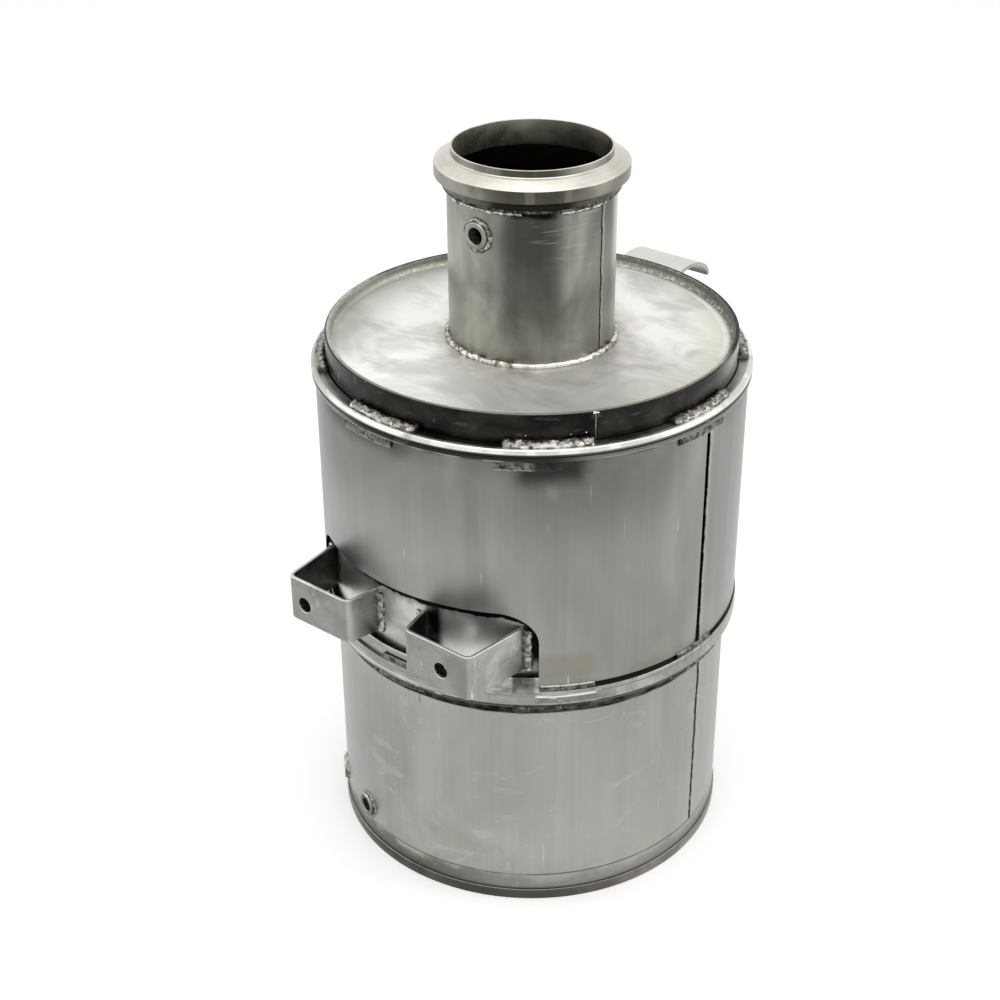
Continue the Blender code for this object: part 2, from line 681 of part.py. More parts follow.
def make_shell(shop):
    columns = lap_columns()
    mesh = bpy.data.meshes.new("heat_shield_shell")
    points = []
    for angle, radius, foot in columns:
        x, y = polar(radius, angle)
        points.append((x, y, foot))
        points.append((x, y, SHELL_TOP))
    faces = [(2 * i, 2 * i + 2, 2 * i + 3, 2 * i + 1) for i in range(len(columns) - 1)]
    mesh.from_pydata(points, [], faces)
    shell = shop.piece("heat_shield_shell", mesh)
    add_wall(shell, SHELL_WALL)
    add_boolean(shell, window_cutter(shop, "shell_window", 0.0), "DIFFERENCE")
    settle(shell)
    give_finish(shell, "shell_steel")
    outer = LAP_INNER_BORE - GAP
    step_height = CAN_TOP + JOINT_WELD_SIZE + 3 * GAP
    profile = [
        (outer, BLANKET_TOP),
        (outer, BLANKET_BOTTOM),
        (CAN_RADIUS + GAP, BLANKET_BOTTOM),
        (CAN_RADIUS + GAP, step_height),
        (CHAMBER_RADIUS + GAP, step_height),
        (CHAMBER_RADIUS + GAP, BLANKET_TOP),
    ]
    blanket = shop.turned("insulation_blanket", profile, CAN_SIDES, "mat_fibre")
    cut_by(blanket, window_cutter(shop, "blanket_window", BLANKET_CUT_BACK))


def bracket_line(side):
    """Gives the plan of a bracket's sheet, from its outer leg round to its inner leg."""
    front = BRACKET_REACH - BRACKET_PLATE / 2
    inner = BRACKET_INNER_EDGE + BRACKET_PLATE / 2
    outer = BRACKET_OUTER_EDGE - BRACKET_PLATE / 2
    depth = BRACKET_REACH - CAN_RADIUS / 2
    outer_foot = outer + depth * math.tan(math.radians(OUTER_LEG_SPLAY))
    inner_foot = inner - depth * math.tan(math.radians(INNER_LEG_SPLAY))
    corners = [(outer_foot, depth - front), (outer, -front), (inner, -front), (inner_foot, depth - front)]
    return rounded([(side * x, y) for x, y in corners], [0, BRACKET_BEND, BRACKET_BEND, 0])


def upright_sheet(name, line, low, height):
    """Gives an open sheet that stands on a line in the XY plane."""
    mesh = bpy.data.meshes.new(name)
    points = [(x, y, low) for x, y in line] + [(x, y, low + height) for x, y in line]
    count = len(line)
    mesh.from_pydata(points, [], [(i, i + 1, count + i + 1, count + i) for i in range(count - 1)])
    return mesh


def make_bracket(shop, name, side, hole_inset):
    """Bends one bracket, drills its bolt hole, trims its legs to the can and welds them on."""
    line = bracket_line(side)
    bracket = shop.piece(name, upright_sheet(name, line, BRACKET_BOTTOM, BRACKET_HEIGHT))
    add_wall(bracket, BRACKET_PLATE)
    low = BRACKET_BOTTOM - BRACKET_HEIGHT
    high = BRACKET_BOTTOM + 2 * BRACKET_HEIGHT
    seat = shop.cylinder_cutter(name + "_seat", CAN_RADIUS + GAP, low, high, CAN_SIDES)
    hole = shop.cylinder_cutter(name + "_hole", BOLT_HOLE, -BRACKET_REACH - BRACKET_BEND,
                                -BRACKET_REACH + BRACKET_BEND, BOSS_SIDES)
    upright = Matrix.Rotation(math.radians(-90), 4, "X")
    hole_x = side * (BRACKET_OUTER_EDGE - hole_inset)
    hole.data.transform(Matrix.Translation((hole_x, 0.0, BRACKET_BOTTOM + BOLT_HOLE_HEIGHT)) @ upright)
    add_boolean(bracket, seat, "DIFFERENCE")
    add_boolean(bracket, hole, "DIFFERENCE")
    settle(bracket)
    give_finish(bracket, "bracket_steel")
    grown = shop.cutter(name + "_clearance", upright_sheet(name, line, low, high - low))
    add_wall(grown, BRACKET_PLATE + 2 * GAP)
    settle(grown)
    ends = (("outer", line[0], line[1], 1), ("inner", line[-1], line[-2], -1))
    for end_name, foot, bend, away in ends:
        weld_name = f"{name}_{end_name}_weld"
        x, y = leg_seat(foot, bend)
        x += side * away * (BRACKET_PLATE / 2 + LEG_WELD_OFFSET)
        bead = cone_mesh(weld_name, LEG_WELD_SIZE, LEG_WELD_SIZE, BRACKET_BOTTOM + GAP,
                         BRACKET_BOTTOM + BRACKET_HEIGHT - GAP, BOSS_SIDES // 2)
        weld = shop.piece(weld_name, bead)
        weld.data.transform(Matrix.Translation((x, y, 0.0)))
        add_boolean(weld, seat, "DIFFERENCE")
        add_boolean(weld, grown, "DIFFERENCE")
        settle(weld)
        give_finish(weld, "weld_metal")


def leg_seat(foot, bend):
    """Gives the point where a leg's middle line meets the can."""
    start = Vector(bend)
    way = (Vector(foot) - start).normalized()
    along = start.dot(way)
    reach = -along - math.sqrt(along * along - start.length_squared + CAN_RADIUS * CAN_RADIUS)
    return tuple(start + way * reach)


def make_strap(shop):
    half = STRAP_PLATE / 2
    middle = STRAP_TOP - half
    reach = STRAP_REACH - half
    line = rounded([(CHAMBER_RADIUS - STRAP_CURL, middle), (reach, middle), (reach, STRAP_TIP)],
                   [0, STRAP_CURL - half, 0], CURL_STEPS)
    mesh = bpy.data.meshes.new("rear_strap")
    side = STRAP_WIDTH / 2
    points = [(-side, y, z) for y, z in line] + [(side, y, z) for y, z in line]
    count = len(line)
    mesh.from_pydata(points, [], [(i, i + 1, count + i + 1, count + i) for i in range(count - 1)])
    strap = shop.piece("rear_strap", mesh)
    add_wall(strap, STRAP_PLATE)
    seat = shop.cylinder_cutter("rear_strap_seat", CHAMBER_RADIUS + GAP, STRAP_TIP - STRAP_CURL,
                                STRAP_TOP + STRAP_CURL, CAN_SIDES)
    add_boolean(strap, seat, "DIFFERENCE")
    settle(strap)
    give_finish(strap, "bracket_steel")
    top = STRAP_TOP - STRAP_PLATE - GAP
    inner = CHAMBER_RADIUS + GAP
    profile = [(r, 2 * top - z) for r, z in fillet_profile(inner, top, STRAP_WELD_SIZE, STRAP_WELD_SIZE)]
    weld = shop.turned("rear_strap_weld", profile, CAN_SIDES, "weld_metal")
    keep = shop.cutter("rear_strap_weld_span", prism_mesh("rear_strap_weld_span", [
        (-STRAP_WELD_WIDTH / 2, 0.0, 0.0), (STRAP_WELD_WIDTH / 2, 0.0, 0.0),
        (STRAP_WELD_WIDTH / 2, STRAP_REACH, 0.0), (-STRAP_WELD_WIDTH / 2, STRAP_REACH, 0.0)],
        (0.0, 0.0, STRAP_TIP - STRAP_CURL), (0.0, 0.0, 3 * STRAP_CURL)))
    add_boolean(weld, keep, "INTERSECT")
    settle_keep(weld)


def main():
    empty_scene()
    shop = Shop()
    can, chamber = make_can(shop)
    outlet_flange = make_outlet_flange(shop)
    make_catalyst(shop)
    make_end_plate(shop)
    neck = make_neck(shop)
    make_boss(shop, "neck_sensor_boss", NECK_RADIUS, NECK_WALL, NECK_SIDES, NECK_BOSS_ANGLE,
              NECK_BOSS_HEIGHT, [neck])
    make_boss(shop, "front_outlet_boss", CAN_RADIUS, CAN_WALL, CAN_SIDES, FRONT_BOSS_ANGLE,
              FRONT_BOSS_HEIGHT, [can, outlet_flange])
    make_boss(shop, "side_outlet_boss", CAN_RADIUS, CAN_WALL, CAN_SIDES, SIDE_BOSS_ANGLE,
              SIDE_BOSS_HEIGHT, [can, outlet_flange])
    make_shell(shop)
    make_top_ring(shop)
    make_low_ring(shop)
    make_bracket(shop, "left_bracket", -1, LEFT_HOLE_INSET)
    make_bracket(shop, "right_bracket", 1, RIGHT_HOLE_INSET)
    make_strap(shop)


main()
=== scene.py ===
"""Dresses the solids of a diesel oxidation catalyst in smooth sheet steel, turned flanges and rough
weld beads, with its seams, scratches and heat stains, on a pale floor in soft studio light.

Sizes are in metres and angles in degrees, counted round the can from +X towards +Y. The brackets
face -Y, the strap faces +Y, and the can's axis stands a little towards -Y from the origin.
"""
import math

import bpy
from mathutils import Matrix, Vector


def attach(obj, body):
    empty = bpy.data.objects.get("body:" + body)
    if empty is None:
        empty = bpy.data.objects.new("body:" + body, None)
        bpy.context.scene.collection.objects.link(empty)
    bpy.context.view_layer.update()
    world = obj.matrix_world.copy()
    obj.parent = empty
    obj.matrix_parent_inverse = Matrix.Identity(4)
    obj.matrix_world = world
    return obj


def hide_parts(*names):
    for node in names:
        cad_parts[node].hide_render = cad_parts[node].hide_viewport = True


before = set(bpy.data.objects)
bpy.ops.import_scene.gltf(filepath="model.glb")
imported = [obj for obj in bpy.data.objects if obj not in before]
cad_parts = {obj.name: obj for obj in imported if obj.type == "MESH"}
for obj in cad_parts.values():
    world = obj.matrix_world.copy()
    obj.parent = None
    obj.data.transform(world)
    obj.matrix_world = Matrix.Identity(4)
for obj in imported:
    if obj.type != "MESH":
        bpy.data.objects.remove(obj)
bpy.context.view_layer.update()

# The can's axis, the clearance between pieces, the sides of round pieces and how near points merge
AXIS_Y = -0.0081
AXIS = Vector((0.0, AXIS_Y, 0.0))
GAP = 0.0003
ROUND = 192
SMALL_ROUND = 56
MERGE_DISTANCE = 0.000002

# Can, the flange under it and the rings that hold the brick
CAN_R = 0.161
CAN_WALL = 0.0015
CAN_FOOT = 0.0095
CAN_TOP = 0.300
FOOT_FLANGE_R = 0.1623
FOOT_FLANGE_BORE = 0.152
FOOT_FLANGE_TOP = 0.0092
SPIGOT_TOP = 0.024
SPIGOT_WALL = 0.0028
BRICK_FOOT = 0.090
BRICK_TOP = 0.2424
RETAINER_BORE = 0.1484

# Inlet chamber, end plate, neck tube and inlet flange
CHAMBER_R = 0.1592
CHAMBER_WALL = 0.0015
CHAMBER_FOOT = 0.285
RIM_Z = 0.4382
PLATE_Z = 0.430
PLATE_WALL = 0.0025
NECK_R = 0.0635
NECK_WALL = 0.00165
NECK_SINK = 0.007
NECK_TOP = 0.5652
FLANGE_R = 0.0728
FLANGE_FOOT = 0.5525
INLET_TOP = 0.580

# Heat shield shell, the window cut in it round the brackets, and the top closing ring's crown
SHELL_R = 0.16815
SHELL_WALL = 0.0012
SHELL_FOOT = 0.2155
SHELL_TOP = 0.412
LAP_SPAN = 12.3
WINDOW_HALF = 0.109
WINDOW_TOP = 0.2795
WINDOW_CORNER = 0.026
CROWN_Z = 0.4170
STITCH_COUNT = 8

# Brackets, measured from the can's axis, with the splay of their legs; brackets and strap share a sheet
BRACKET_FRONT = 0.1873
BRACKET_INNER = 0.030
BRACKET_OUTER = 0.0905
BRACKET_DEPTH = 0.108
INNER_SPLAY = 12
OUTER_SPLAY = 5.5
BRACKET_FOOT = 0.2277
BRACKET_TALL = 0.0374
BRACKET_SHEET = 0.003
BRACKET_BEND = 0.0065
BOLT_R = 0.00625
BOLT_Z = 0.2438

# Sensor bosses: the hole that each stands in, and each one's angle and height
BOSS_HOLE_R = 0.0105
FRONT_BOSS = (-108.9, 0.036)
SIDE_BOSS = (-133.1, 0.026)
NECK_BOSS = (-90.0, 0.5283)

# Angles of the seams, and of the side that faces the camera
LAP_ANGLE = -0.9
CAN_SEAM_ANGLE = 4.3
NECK_SEAM_ANGLE = 1.1
CHAMBER_SEAM_ANGLE = -35.4
NEAR_SIDE = -52


# ---- Workshop: picking, drawing, turning, cutting ----


def deselect():
    """Leaves edit mode and clears the selection."""
    if bpy.context.object and bpy.context.object.mode == "EDIT":
        bpy.ops.object.mode_set(mode="OBJECT")
    bpy.ops.object.select_all(action="DESELECT")


def pick(piece):
    """Selects one piece alone and makes it the active one."""
    deselect()
    piece.select_set(True)
    bpy.context.view_layer.objects.active = piece


def settle():
    """Puts the selected pieces' place, turn and scale into their meshes."""
    bpy.ops.object.transform_apply(location=True, rotation=True, scale=True)


def polar(radius, angle, height=0.0):
    """Gives the point at this radius, angle and height on the can's axis."""
    turn = math.radians(angle)
    return Vector((radius * math.cos(turn), AXIS_Y + radius * math.sin(turn), height))


def round_corner(start, corner, end, steps):
    """Gives the points of a bend from one side of a corner to the other."""
    points = []
    for k in range(steps + 1):
        t = k / steps
        points.append(start * (1 - t) ** 2 + corner * 2 * t * (1 - t) + end * t ** 2)
    return points


def eased(corners, radius, steps=4):
    """Rounds the corners of a closed outline.

    A corner is a radius, a height and, where it isn't the common one, its own rounding.
    """
    line = []
    for i, corner in enumerate(corners):
        at = Vector(corner[:2])
        ease = corner[2] if len(corner) > 2 else radius
        back = Vector(corners[i - 1][:2]) - at
        ahead = Vector(corners[(i + 1) % len(corners)][:2]) - at
        if ease <= 0 or back.length < 1e-9 or ahead.length < 1e-9:
            line.append(tuple(at))
            continue
        half = back.angle(ahead) / 2
        reach = min(ease / math.tan(half), back.length * 0.49, ahead.length * 0.49)
        start = at + back.normalized() * reach
        end = at + ahead.normalized() * reach
        line += [tuple(point) for point in round_corner(start, at, end, steps)]
    return line


def draw_line(name, points):
    """Draws a line by extruding one point from place to place, and stays in edit mode."""
    deselect()
    bpy.ops.mesh.primitive_plane_add(size=0.001, location=points[0])
    line = bpy.context.object
    line.name = name
    settle()
    bpy.ops.object.mode_set(mode="EDIT")
    bpy.ops.mesh.select_mode(type="VERT")
    bpy.ops.mesh.select_all(action="SELECT")
    bpy.ops.mesh.merge(type="CENTER")
    for here, there in zip(points, points[1:]):
        step = Vector(there) - Vector(here)
        bpy.ops.mesh.extrude_region_move(TRANSFORM_OT_translate={"value": step})
    return line


def spin_round(steps, span, center=AXIS):
    """Spins what is selected about an upright axis, from +X towards +Y."""
    bpy.ops.mesh.spin(steps=steps, angle=-math.radians(span), center=center, axis=(0, 0, 1))


def merge_all():
    """Selects the whole mesh and merges the points that lie on one another."""
    bpy.ops.mesh.select_all(action="SELECT")
    bpy.ops.mesh.remove_doubles(threshold=MERGE_DISTANCE)


def cap_ends():
    """Closes the two open ends that a part turn leaves."""
    bpy.ops.mesh.select_all(action="DESELECT")
    bpy.ops.mesh.select_non_manifold()
    bpy.ops.mesh.fill_holes(sides=0)


def close_up(piece):
    """Merges doubles, turns the faces outwards and leaves edit mode."""
    merge_all()
    bpy.ops.mesh.normals_make_consistent(inside=False)
    bpy.ops.object.mode_set(mode="OBJECT")
    return piece


def turned(name, profile, start=0.0, span=360.0, steps=ROUND):
    """Spins a closed profile of radius and height about the can's axis."""
    points = [polar(r, start, z) for r, z in profile]
    piece = draw_line(name, points + points[:1])
    merge_all()
    spin_round(steps, span)
    if span < 360:
        cap_ends()
    return close_up(piece)


def work(piece, kind, **settings):
    """Gives a piece one modifier and applies it."""
    change = piece.modifiers.new(kind.lower(), kind)
    for key, value in settings.items():
        setattr(change, key, value)
    pick(piece)
    bpy.ops.object.modifier_apply(modifier=change.name)


def cut(piece, tool):
    """Cuts a tool out of a piece and throws the tool away."""
    work(piece, "BOOLEAN", operation="DIFFERENCE", solver="EXACT", object=tool)
    bpy.data.objects.remove(tool, do_unlink=True)


def soften(piece, width, segments=2, angle=40.0):
    """Rounds a piece's sharp edges."""
    work(piece, "BEVEL", width=width, segments=segments, limit_method="ANGLE",
         angle_limit=math.radians(angle), harden_normals=False, miter_outer="MITER_ARC")


def drill(radius, place, depth, vertices=64):
    """Makes a drill that points along the given placing's Z."""
    deselect()
    bpy.ops.mesh.primitive_cylinder_add(vertices=vertices, radius=radius, depth=depth)
    tool = bpy.context.object
    tool.matrix_world = place
    settle()
    return tool


def outward(angle, radius, height):
    """Gives the placing of a thing made along Z that stands out from the can's axis."""
    turn = Matrix.Rotation(math.radians(angle), 4, "Z")
    lay = Matrix.Rotation(math.radians(90), 4, "Y")
    stand = Matrix.Translation(AXIS + Vector((0, 0, height)))
    return stand @ turn @ lay @ Matrix.Translation((0, 0, radius))


def turned_copy(piece, name, angle):
    """Copies a piece, with its own mesh, to another angle round the can."""
    twin = piece.copy()
    twin.data = piece.data.copy()
    twin.name = name
    bpy.context.collection.objects.link(twin)
    turn = Matrix.Rotation(math.radians(angle), 4, "Z")
    twin.matrix_world = Matrix.Translation(AXIS) @ turn @ Matrix.Translation(-AXIS)
    pick(twin)
    settle()
    return twin


def hand_over(piece, finish, slot, *nodes, angle=35.0):
    """Shades and paints a finished piece, attaches it to the root body and hides the solids that it stands
    for.
    """
    pick(piece)
    settle()
    bpy.ops.object.shade_smooth_by_angle(angle=math.radians(angle))
    piece.data.materials.clear()
    piece.data.materials.append(finish)
    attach(piece, "root")
    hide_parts(*nodes)
    return piece


# ---- Weld beads ----


def lump_texture(name, size):
    """Makes the cloudy lumps, of one size, that push a surface in and out."""
    texture = bpy.data.textures.new(name, "CLOUDS")
    texture.noise_scale = size
    return texture


WELD_LUMPS = lump_texture("weld_lumps", 0.0042)
WELD_GRAIN = lump_texture("weld_grain", 0.0018)


def push_about(piece, texture, strength, **settings):
    """Pushes a surface in and out by the lumps of a texture."""
    work(piece, "DISPLACE", texture=texture, strength=strength, mid_level=0.5,
         texture_coords="LOCAL", **settings)


def roughen(piece, lumps, grain):
    """Rounds a bead off and gives it the lumps and grain of a hand weld."""
    work(piece, "SUBSURF", levels=1, render_levels=1)
    push_about(piece, WELD_LUMPS, lumps)
    push_about(piece, WELD_GRAIN, grain)


def arc_bead(name, radius, height, start, span, width, tall, step=0.0012, sides=12):
    """Lays a bead round the can from one angle on, with an oval section."""
    place = polar(radius, start, height)
    deselect()
    bpy.ops.mesh.primitive_circle_add(vertices=sides, radius=1.0, location=place,
                                      rotation=(math.pi / 2, 0, math.radians(start)))
    bead = bpy.context.object
    bead.name = name
    bead.scale = (width / 2, tall / 2, 1.0)
    settle()
    bpy.ops.object.mode_set(mode="EDIT")
    bpy.ops.mesh.select_all(action="SELECT")
    length = radius * math.radians(span)
    spin_round(max(6, round(length / step)), span)
    if span < 360:
        cap_ends()
    return close_up(bead)


def upright_bead(name, x, y, low, high, width, deep, step=0.0012, sides=12):
    """Runs a bead straight up, drawn out loop by loop from its foot."""
    deselect()
    bpy.ops.mesh.primitive_circle_add(vertices=sides, radius=1.0, location=(x, y, low),
                                      fill_type="NGON")
    bead = bpy.context.object
    bead.name = name
    bead.scale = (width / 2, deep / 2, 1.0)
    settle()
    bpy.ops.object.mode_set(mode="EDIT")
    bpy.ops.mesh.select_all(action="SELECT")
    for _ in range(round((high - low) / step)):
        bpy.ops.mesh.extrude_region_move(TRANSFORM_OT_translate={"value": (0, 0, step)})
    return close_up(bead)


def ring_bead(name, radius, width, tall, place, wrap_radius, sides=12):
    """Lays a bead round a boss, bent over the wall that the boss stands on."""
    deselect()
    bpy.ops.mesh.primitive_torus_add(major_radius=radius, minor_radius=width / 2,
                                     major_segments=SMALL_ROUND, minor_segments=sides)
    bead = bpy.context.object
    bead.name = name
    bead.scale = (1, 1, tall / width)
    settle()
    for point in bead.data.vertices:
        point.co.z += math.sqrt(wrap_radius ** 2 - point.co.y ** 2) - wrap_radius
    bead.matrix_world = place
    pick(bead)
    settle()
    return bead


# ---- Finishes ----


class Finish:
    """Mixes one finish out of nodes, on coordinates centred on the can's axis."""

    def __init__(self, name, metal=1.0):
        self.material = bpy.data.materials.new(name)
        self.material.use_nodes = True
        self.nodes = self.material.node_tree.nodes
        self.links = self.material.node_tree.links
        self.shader = self.nodes["Principled BSDF"]
        self.shader.inputs["Metallic"].default_value = metal
        self.place = self.shift(self.nodes.new("ShaderNodeTexCoord").outputs["Object"], (0, -AXIS_Y, 0))
        apart = self.nodes.new("ShaderNodeSeparateXYZ")
        self.links.new(self.place, apart.inputs[0])
        self.x, self.y, self.z = apart.outputs
        self.radius = self.maths("SQRT", self.maths("ADD", self.maths("MULTIPLY", self.x, self.x),
                                                    self.maths("MULTIPLY", self.y, self.y)))

    def feed(self, socket, value):
        """Links a socket to a socket, or sets it to a number or a colour."""
        if isinstance(value, bpy.types.NodeSocket):
            self.links.new(value, socket)
        elif isinstance(value, tuple) and len(value) == 3 and socket.type == "RGBA":
            socket.default_value = (*value, 1.0)
        else:
            socket.default_value = value

    def shift(self, vector, move=(0, 0, 0), scale=(1, 1, 1), turn=0.0):
        """Moves, turns and stretches the coordinates."""
        node = self.nodes.new("ShaderNodeMapping")
        self.links.new(vector, node.inputs["Vector"])
        node.inputs["Location"].default_value = move
        node.inputs["Rotation"].default_value = (0, 0, math.radians(turn))
        node.inputs["Scale"].default_value = scale
        return node.outputs["Vector"]

    def maths(self, kind, a, b=0.0):
        """Adds one sum between two sockets or numbers."""
        node = self.nodes.new("ShaderNodeMath")
        node.operation = kind
        self.feed(node.inputs[0], a)
        self.feed(node.inputs[1], b)
        return node.outputs[0]

    def noise(self, stretch, detail=3.0, roughness=0.55, warp=0.0, turn=0.0, move=(0, 0, 0)):
        """Makes a cloudy pattern; the greater the stretch along an axis, the finer it is there."""
        node = self.nodes.new("ShaderNodeTexNoise")
        self.links.new(self.shift(self.place, move, stretch, turn), node.inputs["Vector"])
        node.inputs["Scale"].default_value = 1.0
        node.inputs["Detail"].default_value = detail
        node.inputs["Roughness"].default_value = roughness
        node.inputs["Distortion"].default_value = warp
        return node.outputs["Fac"]

    def level(self, value, low, high, out_low=0.0, out_high=1.0):
        """Spreads a value from one range to another, held at both ends."""
        node = self.nodes.new("ShaderNodeMapRange")
        node.interpolation_type = "SMOOTHSTEP"
        self.feed(node.inputs["Value"], value)
        limits = {"From Min": low, "From Max": high, "To Min": out_low, "To Max": out_high}
        for key, number in limits.items():
            node.inputs[key].default_value = number
        return node.outputs["Result"]

    def band(self, value, middle, half, soft):
        """Is 1 within a band of the value and falls softly to 0 outside it."""
        away = self.maths("ABSOLUTE", self.maths("SUBTRACT", value, middle))
        return self.level(away, half, half + soft, 1.0, 0.0)

    def towards(self, angle):
        """Gives how far a place faces one way round the can, from -1 to 1."""
        turn = math.radians(angle)
        dot = self.maths("ADD", self.maths("MULTIPLY", self.x, math.cos(turn)),
                         self.maths("MULTIPLY", self.y, math.sin(turn)))
        return self.maths("DIVIDE", dot, self.radius)

    def mix(self, factor, a, b, kind="MIX"):
        """Lays colour b over colour a as far as the factor says."""
        node = self.nodes.new("ShaderNodeMix")
        node.data_type = "RGBA"
        node.blend_type = kind
        node.clamp_factor = True
        self.feed(node.inputs["Factor"], factor)
        self.feed(node.inputs[6], a)
        self.feed(node.inputs[7], b)
        return node.outputs[2]

    def times(self, first, *others):
        """Multiplies masks and numbers together."""
        for other in others:
            first = self.maths("MULTIPLY", first, other)
        return first

    def without(self, mask):
        """Gives what a mask leaves of 1."""
        return self.maths("SUBTRACT", 1.0, mask)

    def frayed(self, value, stretch, by):
        """Wanders a measure to and fro by so many metres, so that an edge on it is uneven."""
        return self.maths("ADD", value, self.level(self.noise(stretch), 0.3, 0.7, -by, by))

    def shade(self, colour, value):
        """Darkens or lightens a colour by a plain number."""
        grey = self.nodes.new("ShaderNodeCombineColor")
        for socket in grey.inputs[:3]:
            self.feed(socket, value)
        return self.mix(1.0, colour, grey.outputs[0], "MULTIPLY")

    def facing(self, axis, sign, low, high):
        """Is 1 on faces that look along one axis and falls to 0 on the others."""
        normal = self.nodes.new("ShaderNodeNewGeometry").outputs["Normal"]
        apart = self.nodes.new("ShaderNodeSeparateXYZ")
        self.links.new(normal, apart.inputs[0])
        return self.level(self.times(apart.outputs[axis], sign), low, high)

    def facing_up(self):
        """Is 1 on faces that look up."""
        return self.facing(2, 1.0, 0.15, 0.6)

    def sideways(self, angle):
        """Gives how far a place lies beside the upright line at one angle, towards greater angles."""
        turn = math.radians(angle)
        return self.maths("ADD", self.times(self.x, -math.sin(turn)), self.times(self.y, math.cos(turn)))

    def beside(self, angle, half):
        """Is 1 within so many metres of the upright line at one angle."""
        return self.times(self.band(self.sideways(angle), 0.0, half, half * 0.5),
                          self.level(self.towards(angle), 0.8, 0.85))

    def around(self, angle, half, soft):
        """Is the same with a width of its own for the fall to 0."""
        return self.times(self.band(self.sideways(angle), 0.0, half, soft),
                          self.level(self.towards(angle), 0.9, 0.95))

    def low_down(self):
        """Is 1 on the lower half of the object."""
        return self.level(self.z, 0.3, 0.31, 1.0, 0.0)

    def seam(self, colour, angle, half, wander, low, high, light):
        """Paints a dark wavering seam with a lighter strip beside it, between two heights."""
        off = self.frayed(self.sideways(angle), (20, 20, 85), wander)
        near = self.times(self.level(self.towards(angle), 0.8, 0.85),
                          self.band(self.z, (low + high) / 2, (high - low) / 2, 0.0015))
        strip = self.times(self.band(off, half * 2 + 0.0014, 0.0008, 0.0012), near)
        colour = self.mix(self.times(strip, 0.3), colour, light)
        broken = self.level(self.noise((12, 12, 210), 2.0), 0.3, 0.48, 0.5, 1.0)
        line = self.times(self.band(off, 0.0, half, half * 0.6), broken, near)
        return self.mix(line, colour, (0.012, 0.012, 0.01))

    def bump(self, height, strength, distance):
        """Raises fine grain that is too small to model."""
        node = self.nodes.new("ShaderNodeBump")
        node.inputs["Strength"].default_value = strength
        node.inputs["Distance"].default_value = distance
        self.links.new(height, node.inputs["Height"])
        return node.outputs["Normal"]

    def done(self, colour, roughness, height=None, strength=0.2, distance=0.0004):
        """Hands the colour, the polish and the grain to the shader and gives the material."""
        self.feed(self.shader.inputs["Base Color"], colour)
        self.feed(self.shader.inputs["Roughness"], roughness)
        if height is not None:
            self.links.new(self.bump(height, strength, distance), self.shader.inputs["Normal"])
        return self.material


def scratches(f, colour, light, stretch, low):
    """Adds sparse fine scratches to a sheet, the fewer the higher they start."""
    lines = f.level(f.noise(stretch, 1.0), low, low + 0.04)
    here = f.level(f.noise((14, 14, 9), 2.0), 0.5, 0.62)
    return f.mix(f.times(lines, here), colour, light)


def rolled(f, colour, broad, fine):
    """Adds the soft upright streaks of rolled and polished sheet."""
    wide, narrow = f.noise((46, 46, 2.2), 3.0, 0.5, 0.4), f.noise((300, 300, 5), 2.0)
    colour = f.shade(colour, f.level(wide, 0.3, 0.7, 1 - broad, 1 + broad))
    return f.shade(colour, f.level(narrow, 0.3, 0.7, 1 - fine, 1 + fine))


def in_window(f):
    """Gives how far a place lies outside the shield's window, in metres, less than 0 within it."""
    across = f.maths("SUBTRACT", f.maths("ABSOLUTE", f.x), WINDOW_HALF - WINDOW_CORNER)
    above = f.maths("SUBTRACT", f.z, WINDOW_TOP - WINDOW_CORNER)
    corner_x, corner_z = f.maths("MAXIMUM", across, 0.0), f.maths("MAXIMUM", above, 0.0)
    corner = f.maths("SQRT", f.maths("ADD", f.times(corner_x, corner_x), f.times(corner_z, corner_z)))
    inside = f.maths("MINIMUM", f.maths("MAXIMUM", across, above), 0.0)
    return f.maths("SUBTRACT", f.maths("ADD", corner, inside), WINDOW_CORNER)


